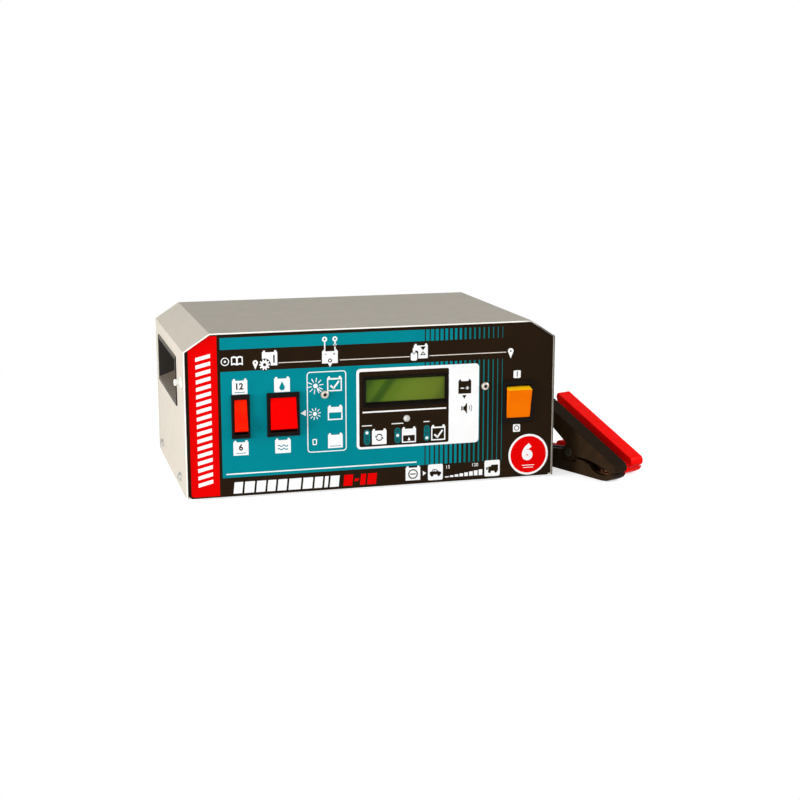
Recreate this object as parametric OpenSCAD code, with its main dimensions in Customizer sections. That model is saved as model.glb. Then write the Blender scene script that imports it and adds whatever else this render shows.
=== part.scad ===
// Bench battery charger: a folded sheet casing with its switches, display, transformer and
// boards, and a battery lead that ends in two sprung clamps.
// Frame: X to the right, Y to the back, Z up. The feet stand on z = 0, and the origin is
// under the middle of the charger, leads and clamps left out.

/* [Casing] */
// Width of the casing
case_w = 280; // [272:1:300]
// Depth of the casing
case_d = 173; // [168:1:190]
// Height of the casing above its feet
case_h = 120; // [116:1:132]
// Width of the sloping top corners
chamfer_w = 19; // [15:1:24]
// Height of the sloping top corners
chamfer_h = 12.5; // [10:0.5:16]
// Thickness of the cover's sheet
cover_t = 1; // [0.8:0.1:1.4]
// Thickness of the tray's and the panels' sheet
panel_t = 1.2; // [1:0.1:1.6]
// Thickness of the printed film
film_t = 0.4; // [0.2:0.1:0.8]
// How far the two panels sit inside the cover's edges
panel_recess = 1; // [0.5:0.5:2]
// Bevel at the bottom corners of the panels
corner_cut = 2.5; // [1:0.5:4]
// Depth of the flanges that hold the sheets together
flange_d = 12; // [10:1:16]
// Height of the tray's side flanges
flange_h = 15; // [13:1:20]

/* [Feet and fasteners] */
// Height of the rubber feet
foot_h = 2; // [1.5:0.5:4]
// Radius of the rubber feet
foot_r = 8; // [6:1:10]
// How far the feet stand in from the casing's sides
foot_inset = 22; // [18:1:30]
// Radius of the cover's screw heads
cover_head_r = 3.4; // [3:0.1:4]
// Height of the cover's screw heads
cover_head_h = 2.4; // [2:0.1:3]
// Radius of the cover's screws
cover_screw_r = 1.9; // [1.5:0.1:2.2]
// Height of the cover's screws above the casing's bottom edge
cover_screw_z = 9.2; // [8:0.1:10]
// Distance of the front cover screws from the casing's front
screw_front_d = 33; // [28:1:38]
// Distance of the rear cover screws from the casing's back
screw_back_d = 26; // [22:1:30]
// Radius of the rivets
rivet_r = 1.6; // [1.2:0.1:2]
// Number of rivets along each panel
rivet_count = 4; // [2:1:6]

/* [Hand grips] */
// Length of the grip's pocket
grip_l = 105; // [95:1:112]
// Height of the grip's pocket
grip_h = 31; // [28:1:34]
// Depth of the grip's pocket
grip_depth = 29; // [24:1:30]
// Height of the pocket's lower lip above the casing's bottom edge
grip_z = 64; // [62:1:68]
// Distance of the pocket's middle from the casing's front
grip_y = 95.5; // [90:0.5:100]
// Rise of the pocket's floor for each millimetre of depth
grip_rise = 0.36; // [0.2:0.02:0.4]
// Wall of the grip cups
grip_wall = 1.6; // [1.2:0.1:2]
// Width of the grip cup's lip round the opening
grip_lip = 3; // [2.5:0.1:4]
// Thickness of the grip cup's lip
grip_lip_t = 1; // [0.8:0.1:1.6]

/* [Switches] */
// Height of the switches' middle above the casing's bottom edge
switch_z = 58.8; // [56:0.1:62]
// Position of the slim switch from the casing's middle
slim_x = -99.7; // [-102:0.1:-98]
// Position of the wide switch from the casing's middle
wide_x = -68.6; // [-71:0.1:-66]
// Position of the power switch from the casing's middle
power_x = 111.4; // [110:0.1:113]
// Height of a switch's bezel
bezel_h = 32.2; // [31:0.1:34]
// Width of the slim switch's bezel
slim_bezel_w = 13.4; // [13:0.1:15]
// Width of the wide switches' bezels
wide_bezel_w = 24; // [23:0.1:25]
// Thickness of a switch's bezel
bezel_t = 2; // [1.5:0.1:2.4]
// Bevel of a switch's bezel
bezel_bevel = 0.8; // [0.4:0.1:1]
// Width of the slim rocker
slim_rocker_w = 9; // [8:0.1:9.2]
// Width of the wide rockers
wide_rocker_w = 18.8; // [17:0.1:19]
// Half of a rocker's height at its face
rocker_half = 11.3; // [10.5:0.1:11.6]
// Distance of a rocker's face from its pivot
rocker_face = 6.8; // [6:0.1:7.4]
// Hollow in the middle of a rocker's face
rocker_dip = 0.5; // [0.2:0.1:1]
// Tilt of a rocker to either side
rocker_tilt = 12; // [9:1:13]
// Depth of a rocker's pivot behind the film's face
pivot_depth = 3; // [2.6:0.1:3.4]
// Radius of a rocker's trunnions
trunnion_r = 1.2; // [1:0.1:1.5]
// Depth of a switch's housing behind the film's face
housing_d = 19; // [17:1:24]
// Side wall of a switch's housing
housing_wall = 1.3; // [1.1:0.1:1.5]

/* [Display] */
// Position of the display's middle from the casing's middle
display_x = 24.3; // [22:0.1:26]
// Height of the display's middle above the casing's bottom edge
display_z = 71.7; // [71:0.1:73]
// Width of the display's view
view_w = 60.2; // [56:0.1:62]
// Height of the display's view
view_h = 16.6; // [15:0.1:18]
// Width of the sloping border round the view
view_border = 2.4; // [2:0.1:3]
// Depth of the view behind the film's face
view_depth = 3.6; // [3:0.1:4.5]
// Rim of the display's surround outside its slope
surround_rim = 1; // [0.8:0.1:1.5]
// Thickness of the display cell
cell_t = 1.8; // [1.4:0.1:2.4]
// Thickness of the display module's board with its frame
module_t = 3; // [2:0.1:4]

/* [Boards] */
// Thickness of the circuit boards
board_t = 1.6; // [1.2:0.1:2]
// Length of the spacers that hold the control board
spacer_l = 12; // [11.5:0.5:14]
// Position of the left fascia screw from the casing's middle
screw_left_x = -37.9; // [-39:0.1:-36]
// Position of the right fascia screw from the casing's middle
screw_right_x = 85; // [84:0.1:86]
// Height of the fascia screws above the casing's bottom edge
screw_z = 71.8; // [71:0.1:73]
// Radius of the fascia screws' heads
fascia_head_r = 3.1; // [2.8:0.1:3.4]
// Radius of the fascia screws
fascia_screw_r = 1.45; // [1.2:0.05:1.6]
// Radius of the status lamp
lamp_r = 2.5; // [2:0.1:3]
// Height of the status lamp above the casing's bottom edge
lamp_z = 50.4; // [49:0.1:52]
// Height of the power board above the tray
pillar_h = 8; // [6:1:12]

/* [Overload cut-out] */
// Height of the reset button above the casing's bottom edge
button_z = 84.5; // [83:0.5:88]
// Distance of the reset button from the casing's front
button_y = 9.5; // [9.5:0.5:12]
// Radius of the reset button
button_r = 2.4; // [2:0.1:2.8]
// How far the reset button stands out of the cover
button_out = 5.6; // [4.5:0.1:7]
// Travel of the reset button
button_travel = 2.5; // [1.5:0.5:3]
// Radius of the collar round the reset button
collar_r = 4; // [3.6:0.1:5]

/* [Transformer] */
// Width of the laminated core
core_w = 84; // [78:1:90]
// Height of the laminated core
core_h = 70; // [64:1:76]
// Depth of the laminated core
core_d = 44; // [38:1:50]
// Width of the core's outer legs
core_leg = 14; // [12:1:15]
// How far the windings stand out of the core's stack
winding_out = 12; // [9:1:14]
// Position of the transformer from the casing's middle
trafo_x = 30; // [26:1:34]
// Distance of the transformer's middle from the casing's front
trafo_y = 88; // [84:1:92]

/* [Clamps] */
// Length of a closed clamp along the surface that it lies on
clamp_l = 84; // [84:1:90]
// Width of a clamp's arms
clamp_w = 13; // [12:0.5:15]
// Wall of a clamp's arms
clamp_wall = 1.5; // [1.2:0.1:1.6]
// Radius of a clamp's rivet
pin_r = 1.75; // [1.4:0.05:2]
// Radius of a clamp's rivet heads
pin_head_r = 3.2; // [2.8:0.1:3.6]
// Thickness of the brass jaws
jaw_t = 1.2; // [1:0.1:1.5]
// Diameter of a clamp spring's wire
spring_wire = 1; // [0.8:0.1:1.1]

/* [Leads] */
// Diameter of the twin battery lead
lead_d = 7; // [6.5:0.1:7.2]
// Diameter of the single cores behind the splitter
core_lead_d = 4.4; // [4:0.1:4.6]

/* [Hidden] */

// Overshoot of a cut past the faces that it goes through
over = 1;
// Clearance round a piece that is put through an opening
fit = 0.2;
// Clearance of a shaft in its bore
run_fit = 0.05;
// Clearance between the cover and the sheets inside it
sheet_fit = 0.4;
// Facets of the round pieces
round_fn = 48;
small_fn = 32;
hex_fn = 6;

// Casing
base_z = foot_h;
top_z = base_z + case_h;
half_w = case_w / 2;
front_y = -case_d / 2;
back_y = case_d / 2;
film_y = front_y + panel_recess;
panel_y = film_y + film_t;
panel_back_y = panel_y + panel_t;
rear_out_y = back_y - panel_recess;
rear_in_y = rear_out_y - panel_t;
tray_top_z = base_z + panel_t;
inner_half_w = half_w - cover_t - sheet_fit;
chamfer_l = sqrt(chamfer_w * chamfer_w + chamfer_h * chamfer_h);
chamfer_trim = chamfer_l - chamfer_w - chamfer_h;

// Hand grips
grip_low_z = base_z + grip_z;
grip_mid_y = front_y + grip_y;

// Switches
switch_mid_z = base_z + switch_z;
rocker_gap = 0.3;
rocker_root = rocker_half + 0.6;
rocker_back = 4;
rocker_back_half = 5;
opening_half_h = rocker_half * cos(rocker_tilt) + rocker_face * sin(rocker_tilt) + rocker_gap;
housing_wall_h = 1.5;
housing_half_h = opening_half_h + housing_wall_h;
cavity_d = 12;
trunnion_l = rocker_gap + housing_wall - run_fit;
tab_w = 4.8;
tab_t = 0.8;
tab_l = 8;
tab_pitch = 9;
tab_column = 5.5;

// Display and boards
display_mid_z = base_z + display_z;
module_border = [20, 19];
module_w = view_w + module_border[0];
module_h = view_h + module_border[1];
surround_w = view_w + 2 * (view_border + surround_rim);
surround_h = view_h + 2 * (view_border + surround_rim);
cell_y = film_y + view_depth;
module_y = cell_y + cell_t;
module_back_y = module_y + module_t;
board_y = panel_back_y + spacer_l;
screw_mid_z = base_z + screw_z;
lamp_mid_z = base_z + lamp_z;
board_margin = 7;
board_left_x = screw_left_x - board_margin;
board_right_x = screw_right_x + board_margin;
board_low_z = base_z + 28;
board_high_z = display_mid_z + 18;
spacer_r = 3;
fascia_head_h = 2;
nut_h = 2.4;
nut_r = 3.2;

// Power board and what stands on it
power_inset = 36;
power_w = 72;
power_left_x = -half_w + power_inset;
power_right_x = power_left_x + power_w;
power_front_y = front_y + 30;
power_back_y = rear_in_y - 46;
power_z = tray_top_z + pillar_h;
power_top_z = power_z + board_t;
pillar_inset = 5;
pillar_r = 3;
capacitor_r = 12.5;
capacitor_h = 38;
capacitor_inset = [20, 24];
relay_size = [19, 16, 20];
relay_inset = [32, 8];
tray_slot_inset = [14, 12, 0];

// Heat sink
sink_inset = 20;
sink_left_x = power_left_x + sink_inset;
sink_w = 60;
sink_h = 62;
sink_base_t = 5;
sink_fin_l = 20;
sink_fin_t = 2;
sink_fins = 8;
sink_fit = 0.4;
rivet_head_r = 1.5 * rivet_r;
sink_gap = flange_d / 2 + rivet_head_r + sink_fit;
sink_back_y = rear_in_y - sink_gap;
sink_front_y = sink_back_y - sink_fin_l - sink_base_t;

// Glands
gland_z = base_z + 24;
mains_inset = 24;
mains_x = -half_w + mains_inset;
lead_x = 98.5;
mains_bore_r = 3.8;
lead_bore_r = lead_d / 2 + 0.15;
gland_out = 10;
gland_in = 12;
gland_nut_r = 10.4;
gland_dome_r = 8.2;
gland_thread_r = 6.2;

// Overload cut-out
button_mid_y = front_y + button_y;
button_mid_z = base_z + button_z;
cutout_d = 12;
cutout_h = 22;
cutout_l = 26;
button_in = 8;

// Reach of the charger beyond its casing on each side, which sets the frame
rocker_reach = rocker_face * cos(rocker_tilt) + rocker_half * sin(rocker_tilt) - pivot_depth;
frame_x = (button_out - cover_head_h) / 2;
frame_y = (rocker_reach - gland_out) / 2;

// Clamp, in its own frame: x from the tail to the nose, y across, z up
clamp_turn = -68.5;
black_place = [152.3, -39.3, 0];
red_place = [173.7, -21.1, 0];
pivot_x = 34;
pivot_z = 15.5;
ear_r = 7;
ear_fit = 0.4;
ear_t = 1.6;
arm_fit = 0.4;
tail_top = [0, 52.5];
nose_top = [clamp_l - 1.4, 14.4];
upper_side = [
    tail_top, [-1.5, 49.5], [1, 42], [9, 35.8], [17, 30.3], [28, 23.4], [38, 16.5], [44, 13.2],
    [50, 13.4], [55, 13.2], [62, 12], [73, 9.6], [clamp_l - 6.5, 7.1], [clamp_l - 2, 7.1],
    [clamp_l, 9.2], [clamp_l, 12.4], nose_top
];
lower_side = [
    [0, 0], [70, 0], [76, 0.8], [clamp_l - 3, 3.6], [clamp_l - 1.2, 6.6], [77.5, 6.3], [72, 4.2],
    [66, 4.2], [60, 6], [56.5, 9.6], [50, 11.4], [44, 11.8], [41.8, 8.5], [26, 8.5],
    [24.5, 16.5], [11, 14.7], [2, 13.5], [0, 12]
];
upper_top = 2;
upper_lean = atan2(tail_top[1] - nose_top[1], nose_top[0] - tail_top[0]);
lower_floor = 1.6;
tail_wall = 2;
mouth_x = 55;
upper_bite = [[mouth_x, 13.4], [clamp_l - 8, 8.8]];
lower_bite = [[clamp_l - 6.4, 5.4], [mouth_x, 4.2]];
upper_tooth_h = 1;
lower_tooth_h = 0.9;
tooth_pitch = 3.5;
clamp_cord_z = 6.4;

// Spring of a clamp: wound about the rivet, with a leg in each arm
spring_r = 3;
spring_pitch = 1.6;
spring_start = 30;
spring_sweep = 95 + 2 * 360;
spring_rings = 8;
spring_leg_up = 24.7;
spring_leg_down = 24.3;
spring_sides = 6;

// Route of the battery lead, from inside its gland to the coil, and on to the splitter
coil_place = [52, 160];
coil_r = 46.5;
coil_end_r = 48.5;
coil_turns = 2;
coil_low_z = 4.7;
coil_layer = 7.8;
coil_pitch = lead_d + 1.75;
coil_rings = 24;
coil_tail_turns = 0.25;
coil_sides = 6;
lead_sides = 8;
lead_start_route = [
    [98.5, 74, 26], [98.5, 90, 26], [98.5, 104, 26], [98.5, 112, 25], [98.5, 120, 22.2],
    [98.5, 128.5, 15.4], [98.5, 137, 8.5], [98.5, 145, 5.7], [98.5, 153, 4.7]
];
lead_run_route = [
    [59, 111.5, 12.5], [66, 111.5, 12.1], [74, 111.5, 10.4], [84, 111.5, 7],
    [92, 111.5, 5.2], [100, 111.5, 4.8]
];
splitter_l = 24;
splitter_mid_z = 4.8;
core_spread = 3;
black_route = [
    [124, 108.5, 3.4], [131, 108, 2.6], [141, 104.5, 2.2], [149.5, 97, 2.2],
    [154.5, 87.5, 2.2], [156, 76, 2.2], [155.8, 63, 2.2], [154.9, 50, 2.2], [153, 37.5, 2.2],
    [150.4, 25, 2.2], [147.9, 13, 2.2], [146, 1.5, 2.3], [145.4, -8.7, 2.9],
    [146, -18.2, 4], [147.5, -26.8, 5.4], [150.1, -33.8, 6.3], [152.3, -39.3, 6.4]
];
red_route = [
    [124, 114.5, 3.4], [132, 114, 2.6], [143, 110.5, 2.2], [153, 103, 2.2],
    [160, 92.5, 2.2], [162.5, 80, 2.2], [162.9, 67, 2.2], [162.4, 54, 2.2], [161.8, 41.5, 2.2],
    [161.5, 30.5, 2.2], [161.8, 20.5, 2.4], [163.2, 10.4, 3.2], [165.6, 0.8, 4.6],
    [168.6, -8.1, 6], [171.5, -15.5, 6.4], [173.7, -21.1, 6.4]
];

// Width and height of the chamfered corner of an outline that lies inset inside the casing's
function corner_across(inset) = chamfer_w + inset * chamfer_trim / chamfer_h;
function corner_down(inset) = chamfer_h + inset * chamfer_trim / chamfer_w;

// The casing's outline in X and Z, inset by one value, from a height up, with its low
// corners cut
function case_outline(inset, low, cut) = let (
    w = half_w - inset,
    top = top_z - inset,
    shoulder = top - corner_down(inset),
    ridge = w - corner_across(inset)
) [
    [-w + cut, low], [w - cut, low], [w, low + cut], [w, shoulder], [ridge, top],
    [-ridge, top], [-w, shoulder], [-w, low + cut]
];

function unit(v) = v / norm(v);
function last(points) = points[len(points) - 1];

// Direction of a route at point i
function heading(points, i) = let (n = len(points))
    unit(i == 0 ? points[1] - points[0]
        : i == n - 1 ? points[i] - points[i - 1]
        : unit(points[i + 1] - points[i]) + unit(points[i] - points[i - 1]));

// Corners of the ring of a tube at point i, with one corner straight down from the middle
function ring(points, i, r, sides, up) = let (
    along = heading(points, i),
    across = unit(cross(along, up)),
    rise = cross(across, along)
) [for (k = [0:sides - 1]) let (turn = 270 + 360 * k / sides)
    points[i] + r * (cos(turn) * across + sin(turn) * rise)];

// One closed tube of triangles along a route
module tube(points, diameter, sides, up = [0, 0, 1]) {
    count = len(points);
    corners = [for (i = [0:count - 1]) each ring(points, i, diameter / 2, sides, up)];
    walls = [for (i = [0:count - 2], k = [0:sides - 1]) let (
        a = i * sides + k,
        b = i * sides + (k + 1) % sides
    ) each [[a, b, b + sides], [a, b + sides, a + sides]]];
    first_cap = [for (k = [1:sides - 2]) [0, k + 1, k]];
    end = (count - 1) * sides;
    last_cap = [for (k = [1:sides - 2]) [end, end + k, end + k + 1]];
    polyhedron(corners, concat(walls, first_cap, last_cap), convexity = 10);
}

// Solids drawn as an outline: standing across Y, and standing across X
module across_y(low_y, depth) {
    translate([0, low_y + depth, 0]) rotate([90, 0, 0]) linear_extrude(depth) children();
}

module across_x(width) {
    rotate([90, 0, 90]) linear_extrude(width, center = true) children();
}

module box(low, high) {
    translate(low) cube(high - low);
}

// A round bar along Y, from a low y to a high one
module bar_y(r, low_y, high_y, facets = small_fn) {
    translate([0, high_y, 0]) rotate([90, 0, 0]) cylinder(h = high_y - low_y, r = r, $fn = facets);
}

module in_frame() {
    translate([frame_x, frame_y, 0]) children();
}

// ---- Casing ----

module grip_opening(side) {
    margin = grip_wall + fit;
    box([side * half_w - over - cover_t, grip_mid_y - grip_l / 2 - margin, grip_low_z - margin],
        [side * half_w + over + cover_t, grip_mid_y + grip_l / 2 + margin,
         grip_low_z + grip_h + margin]);
}

module at_cover_screws() {
    for (side = [0, 1], y = [front_y + screw_front_d, back_y - screw_back_d])
        mirror([side, 0, 0]) translate([half_w, y, base_z + cover_screw_z]) rotate([0, 90, 0]) children();
}

module cover() {
    color([0.74, 0.72, 0.68])
    difference() {
        across_y(front_y, case_d) polygon(case_outline(0, base_z, 0));
        across_y(front_y - over, case_d + 2 * over) polygon(case_outline(cover_t, base_z - over, 0));
        grip_opening(-1);
        grip_opening(1);
        translate([-half_w, button_mid_y, button_mid_z]) rotate([0, 90, 0])
            cylinder(h = 4 * cover_t, r = collar_r - 1 + fit, center = true, $fn = round_fn);
        at_cover_screws() cylinder(h = 4 * cover_t, r = cover_screw_r + fit, center = true, $fn = small_fn);
    }
}

// A hand-grip cup: a lip round the opening and a pocket whose floor rises inwards
module grip_cup() {
    deep = half_w - grip_depth;
    high = grip_low_z + grip_h;
    color([0.13, 0.13, 0.13])
    difference() {
        union() {
            box([half_w, grip_mid_y - grip_l / 2 - grip_lip, grip_low_z - grip_lip],
                [half_w + grip_lip_t, grip_mid_y + grip_l / 2 + grip_lip, high + grip_lip]);
            across_y(grip_mid_y - grip_l / 2 - grip_wall, grip_l + 2 * grip_wall)
                polygon([
                    [half_w, grip_low_z - grip_wall],
                    [half_w, high + grip_wall],
                    [deep - grip_wall, high + grip_wall],
                    [deep - grip_wall, grip_low_z - grip_wall + grip_rise * (grip_depth + grip_wall)]
                ]);
        }
        across_y(grip_mid_y - grip_l / 2, grip_l)
            polygon([
                [half_w + grip_lip_t + over, grip_low_z],
                [half_w + grip_lip_t + over, high],
                [deep, high],
                [deep, grip_low_z + grip_rise * grip_depth],
                [half_w, grip_low_z]
            ]);
    }
}

module left_grip_cup() {
    mirror([1, 0, 0]) grip_cup();
}

module right_grip_cup() {
    grip_cup();
}

// Openings of the film and the front panel
module front_cuts(low_y, depth) {
    for (place = [[slim_x, slim_bezel_w], [wide_x, wide_bezel_w], [power_x, wide_bezel_w]])
        translate([place[0] - place[1] / 2 + bezel_bevel - fit, low_y, switch_mid_z - housing_half_h - fit])
            cube([place[1] - 2 * bezel_bevel + 2 * fit, depth, 2 * (housing_half_h + fit)]);
    translate([display_x - surround_w / 2 - fit, low_y, display_mid_z - surround_h / 2 - fit])
        cube([surround_w + 2 * fit, depth, surround_h + 2 * fit]);
    translate([display_x, 0, lamp_mid_z]) bar_y(lamp_r + fit, low_y, low_y + depth);
    for (x = [screw_left_x, screw_right_x])
        translate([x, 0, screw_mid_z]) bar_y(fascia_screw_r + fit, low_y, low_y + depth);
}

module fascia_film() {
    color([0.02, 0.47, 0.55])
    difference() {
        across_y(film_y, film_t) polygon(case_outline(cover_t + sheet_fit, base_z, corner_cut));
        front_cuts(film_y - over, film_t + 2 * over);
    }
}

// Places of the rivets along one panel's flange
module at_rivets(y) {
    span = 2 * (inner_half_w - foot_inset);
    for (i = [0:rivet_count - 1])
        translate([-span / 2 + span * i / (rivet_count - 1), y, base_z]) children();
}

front_rivet_y = panel_back_y + flange_d / 2;
rear_rivet_y = rear_in_y - flange_d / 2;

module rivet_hole() {
    translate([0, 0, -over]) cylinder(h = 2 * panel_t + 2 * over, r = rivet_r + run_fit, $fn = small_fn);
}

module front_panel() {
    color([0.6, 0.6, 0.6])
    difference() {
        union() {
            across_y(panel_y, panel_t) polygon(case_outline(cover_t + sheet_fit, base_z, corner_cut));
            box([-inner_half_w + flange_d, panel_back_y, tray_top_z],
                [inner_half_w - flange_d, panel_back_y + flange_d, tray_top_z + panel_t]);
        }
        front_cuts(panel_y - over, panel_t + 2 * over);
        at_rivets(front_rivet_y) rivet_hole();
    }
}

slot_h = 4;
slot_pitch = 8;
slot_w = 58;
slot_low = 36;
slot_left_x = sink_left_x + 1;
slot_right_x = trafo_x - slot_w / 2;

module rear_panel() {
    slots = floor((case_h - chamfer_h - slot_low - slot_pitch) / slot_pitch);
    color([0.72, 0.72, 0.7])
    difference() {
        union() {
            across_y(rear_in_y, panel_t) polygon(case_outline(cover_t + sheet_fit, base_z, corner_cut));
            box([-inner_half_w + flange_d, rear_in_y - flange_d, tray_top_z],
                [inner_half_w - flange_d, rear_in_y, tray_top_z + panel_t]);
        }
        for (x = [slot_left_x, slot_right_x], i = [0:slots - 1])
            translate([x, rear_in_y - over, base_z + slot_low + i * slot_pitch])
                cube([slot_w, panel_t + 2 * over, slot_h]);
        for (x = [mains_x, lead_x])
            translate([x, 0, gland_z])
                bar_y(gland_thread_r + fit, rear_in_y - over, rear_out_y + over, round_fn);
        at_rivets(rear_rivet_y) rivet_hole();
    }
}

module at_feet() {
    for (x = [-1, 1], y = [-1, 1])
        translate([x * (half_w - foot_inset), y * (case_d / 2 - foot_inset), 0]) children();
}

stem_r = 2.4;
tray_slots = 6;
tray_slot_l = 44;
bolt_r = 2;

module base_tray() {
    color([0.7, 0.7, 0.68])
    difference() {
        union() {
            box([-inner_half_w, panel_back_y, base_z], [inner_half_w, rear_in_y, tray_top_z]);
            for (side = [0, 1]) mirror([side, 0, 0])
                box([inner_half_w - panel_t, panel_back_y + flange_d, base_z],
                    [inner_half_w, rear_in_y - flange_d, base_z + flange_h]);
        }
        for (y = [front_rivet_y, rear_rivet_y]) at_rivets(y) rivet_hole();
        at_feet() cylinder(h = tray_top_z + over, r = stem_r + run_fit, $fn = small_fn);
        at_cover_screws()
            cylinder(h = 6 * panel_t, r = cover_screw_r + run_fit, center = true, $fn = small_fn);
        for (i = [0:tray_slots - 1])
            translate([power_left_x, power_front_y + i * slot_pitch, base_z - over] + tray_slot_inset)
                cube([tray_slot_l, slot_h, panel_t + 2 * over]);
        at_transformer_bolts() translate([0, 0, -panel_t - over])
            cylinder(h = panel_t + 2 * over, r = bolt_r + run_fit, $fn = small_fn);
    }
}

module chassis_rivets() {
    head_h = 0.9;
    grip = 2 * panel_t;
    color([0.8, 0.8, 0.8])
    for (y = [front_rivet_y, rear_rivet_y]) at_rivets(y) {
        translate([0, 0, -head_h]) cylinder(h = head_h, r = 2 * rivet_r, $fn = small_fn);
        cylinder(h = grip, r = rivet_r, $fn = small_fn);
        translate([0, 0, grip]) cylinder(h = head_h, r = rivet_head_r, $fn = small_fn);
    }
}

// A pan head that stands on z = 0, with a socket in its top
module pan_head(r, h) {
    crown = 0.35 * h;
    difference() {
        rotate_extrude($fn = round_fn) polygon([
            [0, 0], [r, 0], [r, h - 2 * crown], [0.93 * r, h - crown], [0.7 * r, h - 0.3 * crown],
            [0.35 * r, h], [0, h]
        ]);
        translate([0, 0, 0.4 * h]) cylinder(h = h, r = 0.38 * r, $fn = hex_fn);
    }
}

module cover_screws() {
    shank_l = cover_t + sheet_fit + panel_t + 3;
    color([0.82, 0.82, 0.82])
    at_cover_screws() {
        pan_head(cover_head_r, cover_head_h);
        translate([0, 0, -shank_l]) cylinder(h = shank_l, r = cover_screw_r, $fn = small_fn);
    }
}

module rubber_feet() {
    barb_h = 1.5;
    color([0.1, 0.1, 0.1])
    at_feet() rotate_extrude($fn = round_fn) polygon([
        [0, 0], [foot_r - 0.8, 0], [foot_r, foot_h], [stem_r, foot_h],
        [stem_r, tray_top_z], [stem_r + 0.8, tray_top_z + 0.1], [stem_r - 0.8, tray_top_z + barb_h],
        [0, tray_top_z + barb_h]
    ]);
}

// ---- Control panel ----

module at_fascia_screws() {
    for (x = [screw_left_x, screw_right_x])
        translate([x, 0, screw_mid_z]) children();
}

module fascia_screws() {
    color([0.75, 0.75, 0.75])
    at_fascia_screws() {
        translate([0, film_y, 0]) rotate([90, 0, 0]) pan_head(fascia_head_r, fascia_head_h);
        bar_y(fascia_screw_r, film_y, board_y + board_t + nut_h + 1);
    }
}

module board_spacers() {
    color([0.9, 0.9, 0.86])
    at_fascia_screws() difference() {
        bar_y(spacer_r, panel_back_y, board_y);
        bar_y(fascia_screw_r + run_fit, panel_back_y - over, board_y + over);
    }
}

module board_nuts() {
    color([0.75, 0.75, 0.75])
    at_fascia_screws() difference() {
        bar_y(nut_r, board_y + board_t, board_y + board_t + nut_h, hex_fn);
        bar_y(fascia_screw_r + run_fit, board_y, board_y + board_t + nut_h + over);
    }
}

// The recessed frame of the display, whose four inner sides slope to the view
module display_frame() {
    low = [display_x - surround_w / 2, film_y, display_mid_z - surround_h / 2];
    wide = view_border;
    color([0.09, 0.07, 0.07])
    difference() {
        translate(low) cube([surround_w, view_depth, surround_h]);
        hull() {
            translate([display_x - view_w / 2 - wide, film_y - over / 100, display_mid_z - view_h / 2 - wide])
                cube([view_w + 2 * wide, over / 100, view_h + 2 * wide]);
            translate([display_x - view_w / 2, cell_y, display_mid_z - view_h / 2])
                cube([view_w, over / 100, view_h]);
        }
    }
}

module display_glass() {
    color([0.42, 0.5, 0.12])
    translate([display_x - view_w / 2 - view_border, cell_y, display_mid_z - view_h / 2 - view_border])
        cube([view_w + 2 * view_border, cell_t, view_h + 2 * view_border]);
}

module display_module() {
    header_l = 40;
    header_h = 2.5;
    color([0.1, 0.35, 0.2]) {
        translate([display_x - module_w / 2, module_y, display_mid_z - module_h / 2])
            cube([module_w, module_t, module_h]);
        translate([display_x - header_l / 2, module_back_y, display_mid_z + module_h / 2 - 2 * header_h])
            cube([header_l, board_y - module_back_y, header_h]);
    }
}

module control_board() {
    color([0.12, 0.4, 0.22])
    difference() {
        box([board_left_x, board_y, board_low_z], [board_right_x, board_y + board_t, board_high_z]);
        at_fascia_screws() bar_y(fascia_screw_r + fit, board_y - over, board_y + board_t + over);
    }
}

// Circuits on the back of the control board: width, height, and place from the display's
// middle and the casing's bottom
chips = [[22, 8, -26, 44], [10, 8, 4, 44], [8, 12, 24, 68]];

module control_chips() {
    chip_t = 3.5;
    back = board_y + board_t;
    color([0.08, 0.08, 0.08])
    for (chip = chips)
        translate([display_x + chip[2], back, base_z + chip[3]]) cube([chip[0], chip_t, chip[1]]);
}

module sounder() {
    sounder_r = 6;
    sounder_h = 8;
    back = board_y + board_t;
    color([0.07, 0.07, 0.07])
    translate([screw_right_x - 14, 0, base_z + 46]) difference() {
        bar_y(sounder_r, back, back + sounder_h, round_fn);
        bar_y(1, back + sounder_h - 2, back + sounder_h + over);
    }
}

module status_lamp() {
    dome_out = 2.2;
    flange_t = 1.2;
    leg_w = 0.6;
    leg_gap = 1.27;
    lamp_back_y = panel_back_y + flange_t;
    color([0.82, 0.82, 0.8])
    translate([display_x, 0, lamp_mid_z]) {
        translate([0, lamp_back_y, 0]) rotate([90, 0, 0]) rotate_extrude($fn = round_fn) polygon([
            [0, 0], [lamp_r + 0.5, 0], [lamp_r + 0.5, flange_t], [lamp_r, flange_t],
            for (a = [0:15:90]) [lamp_r * cos(a), flange_t + panel_t + film_t + dome_out * sin(a)]
        ]);
        for (x = [-leg_gap, leg_gap])
            translate([x - leg_w / 2, lamp_back_y, -leg_w / 2]) cube([leg_w, board_y - lamp_back_y, leg_w]);
    }
}

// ---- Rocker switches ----

module bevelled_slab(w, h, t, bevel) {
    intersection() {
        translate([-w / 2, 0, 0]) rotate([90, 0, 90]) linear_extrude(w) polygon([
            [0, -h / 2], [-t + bevel, -h / 2], [-t, -h / 2 + bevel],
            [-t, h / 2 - bevel], [-t + bevel, h / 2], [0, h / 2]
        ]);
        translate([0, 0, -h / 2]) linear_extrude(h) polygon([
            [-w / 2, 0], [-w / 2, -t + bevel], [-w / 2 + bevel, -t],
            [w / 2 - bevel, -t], [w / 2, -t + bevel], [w / 2, 0]
        ]);
    }
}

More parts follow.
